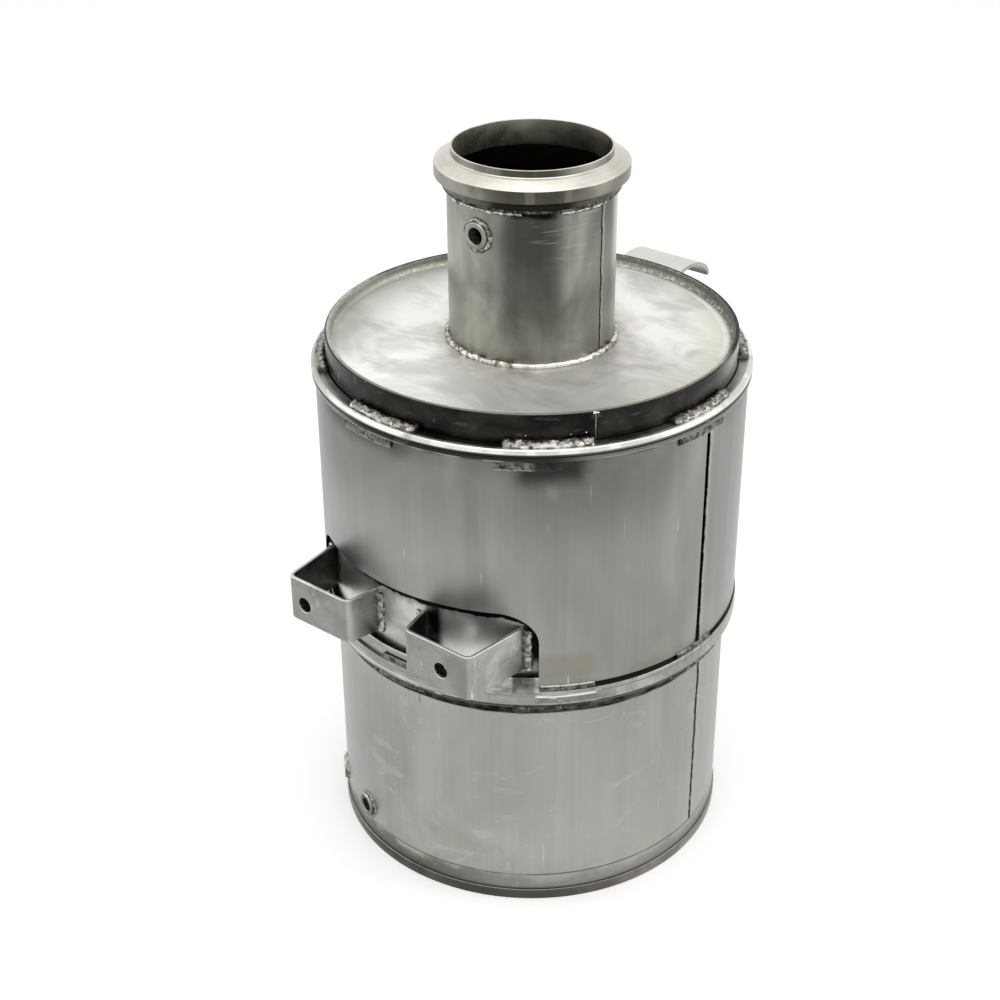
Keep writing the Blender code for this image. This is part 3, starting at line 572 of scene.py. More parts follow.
def can_finish():
    """Mixes the can's satin sheet: smudged outside, with a painted shadow under the low ring, bare inside
    the window with painted light and shade.
    """
    f = Finish("can_satin_steel")
    smudge = f.noise((11, 11, 7), 4.0, 0.5, 0.9)
    colour = f.mix(f.level(smudge, 0.32, 0.68), (0.275, 0.277, 0.262), (0.345, 0.348, 0.328))
    colour = rolled(f, colour, 0.04, 0.02)
    wipe = f.level(f.noise((24, 24, 40), 3.0, 0.6, 1.6, move=(3, 1, 4)), 0.58, 0.7)
    colour = f.mix(f.times(wipe, 0.3), colour, (0.46, 0.465, 0.445))
    stain = f.level(f.noise((17, 17, 13), 3.0, 0.6, 1.0), 0.62, 0.74)
    colour = f.mix(f.times(stain, 0.35), colour, (0.27, 0.26, 0.2))
    # Painted light: the sheet is made lighter towards its foot, standing in for light reflected from the
    # floor
    colour = f.shade(colour, f.level(f.z, 0.02, 0.12, 1.16, 1.0))
    # Dark foot with pale worn patches, and the scored line above it
    foot = f.level(f.frayed(f.z, (40, 40, 60), 0.004), 0.017, 0.0245, 1.0, 0.0)
    shady = f.level(f.towards(-118), 0.4, 0.9, 0.35, 1.0)
    colour = f.mix(f.times(foot, shady), colour, (0.13, 0.128, 0.108))
    patch = f.times(f.band(f.z, 0.031, 0.007, 0.008), f.level(f.noise((30, 30, 45), 3.0), 0.5, 0.62))
    colour = f.mix(f.times(patch, 0.5), colour, (0.44, 0.43, 0.35))
    line = f.times(f.band(f.z, 0.0242, 0.0004, 0.0005),
                   f.level(f.noise((20, 20, 20), 2.0), 0.4, 0.6, 0.15, 0.8))
    # Scratches, the seam, a drip below the ring and the painted shadow under it
    colour = scratches(f, colour, (0.55, 0.55, 0.53), (420, 420, 60), 0.76)
    colour = scratches(f, colour, (0.5, 0.5, 0.48), (420, 420, 16), 0.74)
    colour = f.seam(colour, CAN_SEAM_ANGLE, 0.0014, 0.0007, 0.024, 0.192, (0.47, 0.47, 0.45))
    drip = f.times(f.beside(-84, 0.0005), f.band(f.z, 0.1815, 0.0035, 0.003))
    colour = f.mix(f.times(drip, 0.6), colour, (0.1, 0.1, 0.09))
    # Painted shadow: a mottled near-black band on the can under the low ring's toe
    ring_shadow_edge = f.frayed(f.z, (26, 26, 20), 0.0005)
    ring_shadow = f.mix(f.level(f.noise((60, 60, 160), 3.0), 0.42, 0.66),
                 (0.008, 0.008, 0.007), (0.07, 0.066, 0.052))
    colour = f.mix(f.level(ring_shadow_edge, 0.1842, 0.1856), colour, ring_shadow)
    colour = f.mix(line, colour, (0.07, 0.07, 0.06))
    # Bare sheet inside the window, brightest within each bracket by painted light, with painted shade
    # beside each bracket's inner leg and a painted shadow black along the window's edge
    front = f.times(f.level(f.z, 0.2032, 0.2042), f.level(f.y, -0.07, -0.09))
    bare = f.mix(f.level(f.noise((30, 30, 22), 4.0, 0.6, 0.9), 0.38, 0.64),
                 (0.3, 0.3, 0.275), (0.5, 0.5, 0.47))
    # Painted light: the bare sheet within each bracket is brightened
    cradle_light = f.band(f.maths("ABSOLUTE", f.x), 0.064, 0.018, 0.014)
    bare = f.mix(f.times(cradle_light, 0.6), bare, (0.82, 0.82, 0.78))
    # Painted shade: black on the sheet beside each bracket's inner leg
    inner = f.times(f.band(f.x, 0.0315, 0.003, 0.006),
                    f.level(f.noise((50, 50, 50), 3.0), 0.3, 0.6, 0.6, 1.0))
    bare = f.mix(inner, bare, (0.012, 0.012, 0.01))
    # Painted shadow: black along the window's edge, with a dusty brown fringe of painted shade that
    # softens it
    edge = f.frayed(in_window(f), (90, 90, 90), 0.0012)
    dark = f.times(f.level(edge, -0.0102, -0.0084), f.level(f.z, 0.222, 0.238))
    bare = f.mix(dark, bare, (0.004, 0.004, 0.004))
    dust_and_shade = f.times(f.level(edge, -0.016, -0.008), f.level(f.noise((60, 60, 60), 3.0), 0.4, 0.6))
    bare = f.mix(f.times(dust_and_shade, f.maths("SUBTRACT", 0.7, f.times(dark, 0.7))), bare, (0.12, 0.11, 0.09))
    colour = f.mix(front, colour, bare)
    rough = f.level(smudge, 0.3, 0.7, 0.33, 0.43)
    return f.done(colour, rough, f.noise((900, 900, 30), 2.0), 0.08)


def shell_finish():
    """Mixes the shell's satin sheet, with painted shade and pale painted reflections round its sides and a
    painted shadow under the top ring.
    """
    f = Finish("shell_satin_steel")
    smudge = f.noise((9, 9, 4.5), 4.0, 0.5, 0.9)
    colour = f.mix(f.level(smudge, 0.34, 0.68), (0.235, 0.236, 0.224), (0.325, 0.327, 0.31))
    # Painted shade in two darker stretches high on the near side, and a pale painted reflection on either
    # flank
    side_shade = f.times(f.level(f.towards(-36), 0.82, 1.0), f.level(f.z, 0.32, 0.39))
    colour = f.shade(colour, f.without(f.times(side_shade, 0.36)))
    side_shade = f.times(f.level(f.towards(-96), 0.80, 0.95), f.level(f.z, 0.30, 0.38))
    colour = f.shade(colour, f.without(f.times(side_shade, 0.32)))
    pale = f.level(f.towards(46), 0.9, 1.0)
    colour = f.mix(f.times(pale, 0.75), colour, (0.52, 0.52, 0.5))
    pale = f.level(f.towards(-148), 0.93, 1.0)
    colour = f.mix(f.times(pale, 0.7), colour, (0.45, 0.45, 0.43))
    # Heat tint and painted shade darkening the sheet below the top ring, stains, the dull foot and a
    # tanned patch on it
    colour = rolled(f, colour, 0.05, 0.02)
    haze_and_shade = f.times(f.level(f.z, 0.382, 0.408), f.level(f.noise((22, 22, 16), 3.0), 0.36, 0.62))
    colour = f.mix(f.times(haze_and_shade, 0.5), colour, (0.11, 0.108, 0.1))
    stain = f.level(f.noise((13, 13, 15), 3.0, 0.6, 1.2, move=(2, 3, 1)), 0.6, 0.74)
    colour = f.mix(f.times(stain, 0.35), colour, (0.3, 0.295, 0.2))
    foot = f.times(f.level(f.z, 0.217, 0.232, 1.0, 0.0), f.level(f.noise((30, 30, 40), 3.0), 0.4, 0.6))
    colour = f.mix(f.times(foot, 0.4), colour, (0.17, 0.165, 0.13))
    tanned = f.times(f.around(-43, 0.018, 0.012), f.band(f.z, 0.232, 0.006, 0.010))
    colour = f.mix(f.times(tanned, 0.45), colour, (0.2, 0.185, 0.13))
    colour = scratches(f, colour, (0.5, 0.5, 0.48), (380, 380, 14), 0.74)
    # Painted shadow under the top ring's skirt, with two deeper patches of painted shade
    under = f.frayed(f.z, (70, 70, 30), 0.001)
    colour = f.mix(f.times(f.level(under, 0.4046, 0.4076), 0.85), colour, (0.014, 0.014, 0.012))
    gloom = f.times(f.around(-47, 0.016, 0.016), f.level(under, 0.380, 0.398))
    colour = f.mix(f.times(gloom, 0.92), colour, (0.024, 0.024, 0.021))
    gloom = f.times(f.around(-100, 0.036, 0.03), f.level(under, 0.388, 0.404))
    colour = f.mix(f.times(gloom, 0.7), colour, (0.05, 0.05, 0.045))
    # The lap: the far edge showing through, the seam itself and painted shade in the hollow at its foot
    hidden_edge = f.times(f.beside(LAP_ANGLE + LAP_SPAN, 0.0004), f.level(f.z, 0.25, 0.36))
    colour = f.mix(f.times(hidden_edge, 0.45), colour, (0.1, 0.1, 0.09))
    colour = f.seam(colour, LAP_ANGLE - 0.3, 0.0011, 0.0006, 0.2, SHELL_TOP, (0.46, 0.46, 0.44))
    hollow = f.times(f.beside(LAP_ANGLE - 0.5, 0.0026), f.level(f.z, 0.219, 0.236, 1.0, 0.0))
    colour = f.mix(hollow, colour, (0.012, 0.012, 0.01))
    rough = f.level(smudge, 0.3, 0.7, 0.34, 0.45)
    return f.done(colour, rough, f.noise((800, 800, 20), 2.0), 0.08)


def chamber_finish():
    """Mixes the inlet chamber's wall, painted near-black as shade, with pale painted reflections towards
    its two flanks.
    """
    f = Finish("chamber_dark_steel")
    cloud = f.noise((26, 26, 40), 4.0, 0.6, 0.6)
    # Painted shade: the wall is near-black all round
    colour = f.mix(f.level(cloud, 0.35, 0.7), (0.009, 0.009, 0.008), (0.03, 0.03, 0.026))
    beyond = f.mix(f.level(cloud, 0.35, 0.7), (0.018, 0.018, 0.016), (0.045, 0.045, 0.04))
    past_seam = f.times(f.level(f.sideways(CHAMBER_SEAM_ANGLE), 0.0, 0.001),
                        f.level(f.towards(-20), 0.3, 0.7))
    colour = f.mix(past_seam, colour, beyond)
    # Pale painted reflections towards both flanks, streaked on the left
    streaks = f.level(f.noise((90, 90, 14), 3.0), 0.3, 0.6, 0.6, 1.0)
    left = f.times(f.level(f.towards(-168), 0.8, 0.99), streaks)
    right = f.level(f.towards(60), 0.56, 0.85)
    colour = f.mix(f.times(left, 0.85), colour, (0.27, 0.262, 0.23))
    colour = f.mix(f.times(right, 0.75), colour, (0.45, 0.43, 0.38))
    rub = f.level(f.noise((60, 60, 300), 2.0), 0.58, 0.76)
    colour = f.mix(f.times(rub, 0.3), colour, (0.14, 0.14, 0.125))
    colour = scratches(f, colour, (0.4, 0.4, 0.37), (420, 420, 60), 0.72)
    far_edge = f.times(f.level(f.z, 0.4352, 0.4366), f.level(f.towards(100), 0.02, 0.2))
    colour = f.mix(far_edge, colour, (0.01, 0.01, 0.008))
    rough = f.level(cloud, 0.3, 0.7, 0.24, 0.36)
    return f.done(colour, rough, f.noise((500, 500, 90), 2.0), 0.08)


def plate_finish():
    """Mixes the end plate's bright sheet, with wipe marks and a painted sheen, painted light and shade by
    side, and heat tints round the neck and along the rim.
    """
    f = Finish("plate_bright_steel")
    smoke = f.noise((11, 15, 9), 4.0, 0.55, 1.6, turn=25)
    wipes_and_sheen = f.noise((13, 52, 40), 4.0, 0.6, 1.2, turn=48)
    brushed = f.noise((20, 300, 40), 2.0, 0.6, 0.25, turn=60)
    colour = f.mix(f.level(smoke, 0.36, 0.64), (0.62, 0.625, 0.595), (0.9, 0.905, 0.87))
    # Wipe marks, with a painted sheen in their pale streaks
    colour = f.mix(f.times(f.level(wipes_and_sheen, 0.5, 0.72), 0.45), colour, (0.97, 0.97, 0.95))
    colour = f.shade(colour, f.level(brushed, 0.3, 0.7, 0.99, 1.01))
    # Painted shade on the near side, where the sheet mirrors the neck, painted light at the left front,
    # painted shade at the right front, and a darker back on the left
    shade = f.times(f.level(f.towards(NEAR_SIDE), 0.72, 1.0), f.band(f.radius, 0.132, 0.01, 0.022))
    colour = f.mix(f.times(shade, f.level(smoke, 0.3, 0.7, 0.5, 0.25)), colour, (0.5, 0.5, 0.47))
    colour = f.shade(colour, f.level(f.towards(-98), 0.7, 0.98, 1.0, 1.1))
    colour = f.shade(colour, f.level(f.towards(-12), 0.75, 0.98, 1.0, 0.82))
    back = f.times(f.level(f.towards(170), 0.2, 0.9), f.level(f.radius, 0.1, 0.15))
    colour = f.mix(f.times(back, 0.55), colour, (0.3, 0.3, 0.255))
    # Brown halo and blush round the neck, straw tint on the far side
    reach = f.frayed(f.radius, (60, 60, 10), 0.006)
    halo = f.level(reach, 0.066, 0.081, 1.0, 0.0)
    colour = f.mix(f.times(halo, 0.5), colour, (0.42, 0.385, 0.32))
    blush = f.times(f.band(reach, 0.081, 0.002, 0.007), f.level(f.noise((30, 30, 30), 2.0), 0.4, 0.6))
    colour = f.mix(f.times(blush, 0.3), colour, (0.68, 0.56, 0.51))
    straw = f.times(f.level(f.towards(15), 0.35, 1.0), f.level(f.radius, 0.11, 0.15))
    colour = f.mix(f.times(straw, 0.5), colour, (0.63, 0.61, 0.47))
    # The turned-up edge: dull, dark on its lip, mottled and flecked, with a painted highlight along its
    # foot
    rim = f.level(f.radius, 0.1485, 0.1530)
    colour = f.mix(f.times(rim, 0.45), colour, (0.42, 0.405, 0.34))
    lip = f.times(f.level(f.radius, 0.1516, 0.1530), f.level(f.towards(32), 0.1, 0.95, 0.25, 0.9))
    colour = f.mix(f.times(lip, f.level(f.towards(80), -0.4, 0.1)), colour, (0.13, 0.13, 0.116))
    upper = f.times(f.level(f.z, 0.4338, 0.4352), f.level(f.towards(92), -0.2, 0.2))
    colour = f.mix(f.times(upper, 0.6), colour, (0.1, 0.097, 0.082))
    mottle = f.times(rim, f.level(f.noise((340, 340, 340), 3.0, 0.65, 0.3), 0.48, 0.64))
    mottle = f.times(mottle, f.level(f.z, 0.4325, 0.4345, 0.6, 0.08))
    colour = f.mix(f.times(mottle, f.level(f.towards(105), 0.0, 0.5)), colour, (0.8, 0.77, 0.68))
    flecks = f.times(rim, f.level(f.noise((300, 300, 300), 2.0), 0.66, 0.7))
    colour = f.mix(f.times(flecks, 0.6), colour, (0.8, 0.78, 0.7))
    fillet_highlight = f.times(f.band(f.radius, 0.1490, 0.0012, 0.0011), f.level(f.towards(84), 0.3, 0.8))
    colour = f.mix(f.times(fillet_highlight, f.level(wipes_and_sheen, 0.35, 0.6, 0.4, 0.9)), colour, (0.97, 0.96, 0.9))
    rough = f.level(smoke, 0.3, 0.7, 0.56, 0.48)
    f.shader.inputs["Metallic"].default_value = 0.85
    return f.done(colour, rough, wipes_and_sheen, 0.06)


def neck_finish():
    """Mixes the neck's brushed sheet, with painted reflections dark down its near side and pale on its
    right edge, a painted shadow under the flange and painted shade black within.
    """
    f = Finish("neck_brushed_steel")
    smudge = f.noise((24, 24, 14), 4.0, 0.6, 1.0)
    colour = f.mix(f.level(smudge, 0.34, 0.66), (0.25, 0.249, 0.218), (0.37, 0.37, 0.33))
    # Painted reflections: dark down the near side and across its middle, and darker on the right flank
    front = f.level(f.towards(NEAR_SIDE), 0.895, 0.995)
    cloud = f.level(f.noise((26, 26, 22), 3.0), 0.3, 0.6, 0.7, 1.0)
    height = f.level(f.z, 0.437, 0.49, 0.4, 1.0)
    colour = f.mix(f.times(front, height, cloud, 0.9), colour, (0.062, 0.064, 0.056))
    middle = f.times(f.band(f.z, 0.508, 0.014, 0.03), f.level(f.towards(-60), 0.82, 1.0))
    colour = f.mix(f.times(middle, 0.45), colour, (0.05, 0.052, 0.046))
    flank = f.times(f.level(f.towards(2), 0.93, 0.985), cloud)
    colour = f.mix(f.times(flank, 0.55), colour, (0.13, 0.13, 0.115))
    # Brown foot, light rubs at the top right, and a painted shadow black under the flange
    foot = f.times(f.level(f.z, 0.432, 0.445, 1.0, 0.0), f.level(f.noise((90, 90, 60), 3.0), 0.35, 0.6))
    colour = f.mix(f.times(foot, 0.6), colour, (0.17, 0.15, 0.12))
    colour = rolled(f, colour, 0.05, 0.03)
    rubs = f.level(f.noise((30, 30, 420), 2.0, 0.6, 0.3), 0.58, 0.68)
    right = f.times(f.level(f.towards(-25), 0.8, 0.95), f.level(f.z, 0.49, 0.53))
    colour = f.mix(f.times(rubs, right, 0.22), colour, (0.5, 0.5, 0.46))
    under = f.frayed(f.z, (60, 60, 30), 0.0014)
    black = f.times(f.level(under, 0.5440, 0.5482), f.level(f.towards(-50), 0.945, 0.992))
    colour = f.mix(black, colour, (0.008, 0.008, 0.007))
    # Painted shade: the neck's top darkens under the flange
    colour = f.shade(colour, f.level(f.z, 0.49, 0.548, 1.0, 0.7))
    # A pale painted reflection down the right edge
    edge = f.times(f.level(f.towards(40), 0.9, 0.99), f.level(f.z, 0.46, 0.51))
    colour = f.mix(f.times(edge, 0.85), colour, (0.6, 0.6, 0.56))
    colour = f.seam(colour, NECK_SEAM_ANGLE, 0.0006, 0.0008, 0.4335, 0.5475, (0.52, 0.52, 0.48))
    # Painted shade: black within the tube
    inside = f.level(f.radius, 0.0618, 0.0630, 1.0, 0.0)
    colour = f.mix(inside, colour, (0.007, 0.007, 0.006))
    rough = f.level(smudge, 0.3, 0.7, 0.32, 0.42)
    return f.done(colour, rough, f.noise((900, 900, 40), 2.0), 0.1)


def turned_finish(name, light, dark, upright):
    """Mixes a lathe-turned steel in painted light and shade: one lit colour on its slopes, shaded others
    on its upright faces, near and far.
    """
    f = Finish(name)
    lathe = f.noise((3, 3, 1600), 2.0)
    rings = f.nodes.new("ShaderNodeTexNoise")
    rings.noise_dimensions = "1D"
    rings.inputs["Scale"].default_value = 2600.0
    f.links.new(f.radius, rings.inputs["W"])
    lines = f.maths("ADD", f.times(lathe, 0.5), f.times(rings.outputs["Fac"], 0.5))
    cloud = f.noise((28, 28, 28), 3.0, 0.6, 0.8)
    bright = f.mix(f.level(cloud, 0.35, 0.7), tuple(v * 0.82 for v in light), light)
    side = f.mix(f.level(cloud, 0.35, 0.7), tuple(v * 0.55 for v in upright), upright)
    # Painted shade: upright faces darken on the near side
    front = f.level(f.towards(NEAR_SIDE), 0.84, 1.0)
    side = f.mix(f.times(front, 0.85), side, dark)
    bars = f.times(f.level(f.noise((46, 46, 2), 1.0), 0.56, 0.6), f.level(f.z, 0.5, 0.55))
    side = f.mix(f.times(bars, 0.3), side, upright)
    # Painted shade: black on the back slope under the flange's rim, strongest at the front
    back = f.times(f.band(f.z, 0.5555, 0.0030, 0.0008), f.level(front, 0.0, 0.6, 0.6, 1.0))
    side = f.mix(back, side, (0.014, 0.014, 0.012))
    # Painted light and shade: on the low flange the upright faces are darker one way round and lighter the
    # other
    uneven = f.shade(side, f.level(f.towards(-140), -0.2, 0.8, 1.5, 0.5))
    side = f.mix(f.level(f.z, 0.1, 0.2, 1.0, 0.0), side, uneven)
    # Painted light: faces that look up take the lit colour
    colour = f.mix(f.facing_up(), side, bright)
    colour = f.shade(colour, f.level(lines, 0.35, 0.65, 0.9, 1.05))
    nick = f.level(f.noise((120, 120, 120), 2.0), 0.74, 0.78)
    colour = f.mix(nick, colour, (0.2, 0.19, 0.16))
    # Brown and rusty bore, with painted shade by side and a pale greenish painted light on its left
    inside = f.times(f.level(f.radius, 0.0592, 0.0599, 1.0, 0.0), f.level(f.z, 0.54, 0.545))
    brown = f.mix(f.level(f.noise((40, 40, 60), 3.0), 0.35, 0.65), (0.4, 0.37, 0.31), (0.6, 0.57, 0.5))
    rust = f.level(f.noise((70, 70, 90), 3.0, 0.6, 1.0), 0.6, 0.7)
    brown = f.mix(f.times(rust, 0.6), brown, (0.1, 0.05, 0.03))
    gloom = f.level(f.towards(125), 0.25, 0.9)
    brown = f.shade(brown, f.level(gloom, 0.0, 1.0, 1.25, 0.95))
    brown = f.mix(f.times(f.level(f.towards(175), 0.4, 0.95), 0.9), brown, (0.95, 0.97, 0.76))
    colour = f.mix(f.times(inside, f.without(f.facing_up())), colour, brown)
    rough = f.level(cloud, 0.3, 0.7, 0.25, 0.34)
    return f.done(colour, rough, lines, 0.12)


def ring_finish():
    """Mixes both closing rings' pressed sheet, each lit and shaded at its own heights."""
    f = Finish("ring_pressed_steel")
    cloud = f.noise((44, 44, 60), 4.0, 0.6, 0.6)
    blocks = f.noise((80, 80, 6), 1.0, 0.4)
    colour = f.mix(f.level(cloud, 0.36, 0.66), (0.25, 0.25, 0.23), (0.4, 0.4, 0.375))
    # Top ring, in painted light and shade: a shaded top and well, a highlit shoulder, a dull shaded flank,
    # a shaded groove and a highlit hem, darker on the left, with heat tint
    high = f.level(f.z, 0.3, 0.31)
    dim = f.times(f.level(f.towards(-72), 0.80, 0.92), high)
    top = f.times(f.level(f.z, 0.4148, 0.4156), f.level(f.radius, 0.1660, 0.1668, 1.0, 0.0))
    colour = f.mix(f.times(top, dim), colour, (0.09, 0.09, 0.08))
    well = f.times(f.level(f.radius, 0.1598, 0.1608, 1.0, 0.0), high)
    colour = f.mix(f.times(well, 0.8), colour, (0.04, 0.04, 0.035))
    flank = f.times(f.level(f.z, 0.4136, 0.4126), high, f.level(f.radius, 0.1690, 0.1696))
    dull = f.mix(dim, (0.14, 0.14, 0.128), (0.016, 0.016, 0.014))
    colour = f.mix(f.times(flank, 0.97), colour, dull)
    reach = f.maths("SUBTRACT", f.radius, f.level(f.towards(-140), 0.4, 0.8, 0.0, 0.0012))
    shoulder = f.times(f.level(f.z, 0.4130, 0.4142), f.level(reach, 0.1662, 0.1674),
                       f.level(blocks, 0.4, 0.56, 0.65, 1.0))
    colour = f.mix(shoulder, colour, (0.86, 0.85, 0.8))
    left = f.times(f.level(f.towards(-142), 0.75, 1.0), high)
    colour = f.mix(f.times(left, 0.4), colour, (0.16, 0.16, 0.148))
    colour = f.mix(f.times(f.band(f.z, 0.4114, 0.0006, 0.0005), 0.85), colour, (0.03, 0.03, 0.026))
    hem = f.times(f.band(f.z, 0.4078, 0.0003, 0.0004),
                  f.level(f.noise((40, 40, 10), 2.0), 0.4, 0.6, 0.2, 0.9))
    hem = f.times(hem, f.without(f.around(-46, 0.018, 0.010)))
    colour = f.mix(hem, colour, (0.28, 0.28, 0.26))
    burnt = f.level(f.noise((34, 34, 34), 3.0, 0.6, 0.8), 0.6, 0.72)
    colour = f.mix(f.times(burnt, 0.4), colour, (0.13, 0.118, 0.09))
    # Low ring, in painted light and shade: glints on its ridge with shade under them, a shaded toe under a
    # highlit lip, a shaded crease, a painted shadow in the open lap and a highlit hem
    low = f.low_down()
    bright = (0.85, 0.85, 0.82)
    glint = f.times(f.band(f.z, 0.2018, 0.0006, 0.0008), f.level(f.towards(-115), 0.7, 0.95), low)
    colour = f.mix(f.times(glint, 0.35), colour, bright)
    near = f.around(-42.5, 0.021, 0.004)
    colour = f.mix(f.times(f.band(f.z, 0.2068, 0.0007, 0.0007), near, 0.8), colour, bright)
    colour = f.mix(f.times(f.band(f.z, 0.2030, 0.0016, 0.0014), near, 0.55), colour, (0.1, 0.095, 0.08))
    colour = f.mix(f.level(f.z, 0.1987, 0.1996, 1.0, 0.0), colour, (0.02, 0.02, 0.017))
    colour = f.mix(f.times(f.band(f.z, 0.1962, 0.0004, 0.0002), 0.8), colour, (0.34, 0.34, 0.31))
    crease = f.times(f.band(f.z, 0.2074, 0.0003, 0.0004), f.level(cloud, 0.35, 0.6, 0.2, 0.7))
    colour = f.mix(crease, colour, (0.09, 0.09, 0.08))
    lap = f.times(f.band(f.z, 0.2131, 0.0021, 0.0004), f.level(f.towards(-90), 0.755, 0.765, 1.0, 0.0))
    colour = f.mix(lap, colour, (0.01, 0.01, 0.009))
    hem = f.times(f.level(f.z, 0.2212, 0.2217), low)
    colour = f.mix(f.times(hem, 0.8), colour, bright)
    colour = scratches(f, colour, (0.7, 0.7, 0.66), (90, 90, 700), 0.7)
    # Painted shade in two dark corners beside the brackets, broken up by a cloudy pattern
    behind = f.times(f.beside(-127, 0.013), low, f.level(f.z, 0.2020, 0.2040))
    colour = f.mix(behind, colour, (0.012, 0.012, 0.01))
    corner = f.times(f.beside(-53.5, 0.007), low, f.level(f.z, 0.2075, 0.2115))
    smoke = f.level(f.noise((60, 60, 60), 3.0), 0.3, 0.6, 0.5, 0.95)
    colour = f.mix(f.times(corner, smoke), colour, (0.05, 0.046, 0.036))
    rough = f.level(cloud, 0.3, 0.7, 0.24, 0.38)
    return f.done(colour, rough, blocks, 0.1, 0.0008)


def bracket_finish():
    """Mixes the brackets' and the strap's matt sheet, with painted shade black inside the brackets and
    darker on front faces, and painted light on edges.
    """
    f = Finish("bracket_matt_steel")
    cloud = f.noise((38, 38, 38), 4.0, 0.55, 0.6)
    brushed = f.noise((60, 60, 300), 2.0)
    colour = f.mix(f.level(cloud, 0.34, 0.68), (0.31, 0.31, 0.29), (0.44, 0.44, 0.415))
    low = f.low_down()
    # Painted shade: faces that look forward are darker
    forward = f.times(f.facing(1, -1.0, 0.7, 0.95), low)
    colour = f.shade(colour, f.level(forward, 0.0, 1.0, 1.0, 0.68))
    colour = f.shade(colour, f.level(brushed, 0.3, 0.7, 0.97, 1.03))
    scuff = f.level(f.noise((120, 120, 50), 4.0, 0.7), 0.62, 0.7)
    colour = f.mix(f.times(scuff, 0.5), colour, (0.66, 0.66, 0.63))
    # Painted shade within a bracket: behind its front and between the lines of its two legs
    reach = f.maths("ABSOLUTE", f.x)
    depth = f.maths("ADD", f.y, BRACKET_FRONT)
    leg_in = f.maths("SUBTRACT", BRACKET_INNER, f.times(depth, math.tan(math.radians(INNER_SPLAY))))
    leg_out = f.maths("ADD", BRACKET_OUTER, f.times(depth, math.tan(math.radians(OUTER_SPLAY))))
    within = f.times(f.level(f.maths("SUBTRACT", reach, leg_in), 0.0003, 0.0012),
                     f.level(f.maths("SUBTRACT", leg_out, reach), 0.0003, 0.0012),
                     f.level(depth, 0.0003, 0.0012), low)
    colour = f.mix(f.times(within, f.level(cloud, 0.3, 0.6, 0.97, 0.85)), colour, (0.018, 0.018, 0.016))
    # Bends scuffed bright with a painted highlight, painted light on the upper edges, and grime
    bend = f.times(f.band(depth, 0.002, 0.003, 0.002), f.level(f.noise((90, 90, 30), 3.0), 0.5, 0.64))
    sides = f.times(f.level(forward, 0.1, 0.6, 1.0, 0.0), low)
    colour = f.mix(f.times(bend, sides, f.without(within), 0.6), colour, (0.8, 0.8, 0.77))
    colour = f.mix(f.times(f.facing_up(), 0.8), colour, (0.76, 0.75, 0.71))
    grime = f.times(f.level(f.noise((30, 30, 30), 3.0, 0.6, 1.0, move=(5, 2, 7)), 0.56, 0.7), low)
    colour = f.mix(f.times(grime, 0.4), colour, (0.16, 0.155, 0.13))
    rough = f.level(cloud, 0.3, 0.7, 0.38, 0.5)
    return f.done(colour, rough, f.noise((600, 600, 600), 2.0), 0.08)


def weld_finish(name, dark, bright, tint, share=0.5):
    """Mixes a weld's colour, with painted shade darker on its underside; the share is how much of it is
    dark.
    """
    f = Finish(name)
    lumps = f.noise((260, 260, 260), 3.0, 0.6, 0.6)
    pits = f.noise((600, 600, 600), 2.0, 0.6)
    broad = f.noise((75, 75, 75), 3.0, 0.6, 0.8)
    colour = f.mix(f.level(lumps, share - 0.15, share + 0.15), dark, bright)
    colour = f.mix(f.times(f.level(pits, 0.61, 0.69), 0.7), colour, (0.03, 0.027, 0.02))
    colour = f.mix(f.times(f.level(broad, 0.54, 0.7), 0.5), colour, tint)
    # Painted shade: darker where the bead faces down
    colour = f.shade(colour, f.level(f.facing(2, 1.0, -0.85, 0.25), 0.0, 1.0, 0.3, 1.0))
    rough = f.level(lumps, 0.35, 0.65, 0.45, 0.28)
    return f.done(colour, rough, lumps, 0.35, 0.0005)


def tab_finish():
    """Mixes the dull flat welds on the shell's edges, each with a light line along one edge."""
    f = Finish("tab_weld_metal")
    lumps = f.noise((210, 210, 210), 3.0, 0.6, 0.6)
    colour = f.mix(f.level(lumps, 0.36, 0.64), (0.035, 0.034, 0.03), (0.17, 0.165, 0.15))
    # A light line along the low tabs' upper edge, mostly at the front, and along the top tabs' lower edge
    lower = f.times(f.band(f.z, 0.2158, 0.0004, 0.0005), f.level(f.towards(-44), 0.93, 0.97, 0.15, 1.0))
    edge_line = f.maths("MAXIMUM", f.band(f.z, 0.4003, 0.0004, 0.0005), lower)
    colour = f.mix(f.times(edge_line, f.level(lumps, 0.3, 0.5, 0.4, 0.85)), colour, (0.62, 0.61, 0.57))
    # Painted shadow: the front top tab darkens on its right
    tab_shadow = f.times(f.around(-45, 0.016, 0.006), f.level(f.z, 0.39, 0.395))
    colour = f.mix(f.times(tab_shadow, 0.9), colour, (0.02, 0.02, 0.018))
    return f.done(colour, f.level(lumps, 0.35, 0.65, 0.45, 0.32), lumps, 0.3, 0.0005)


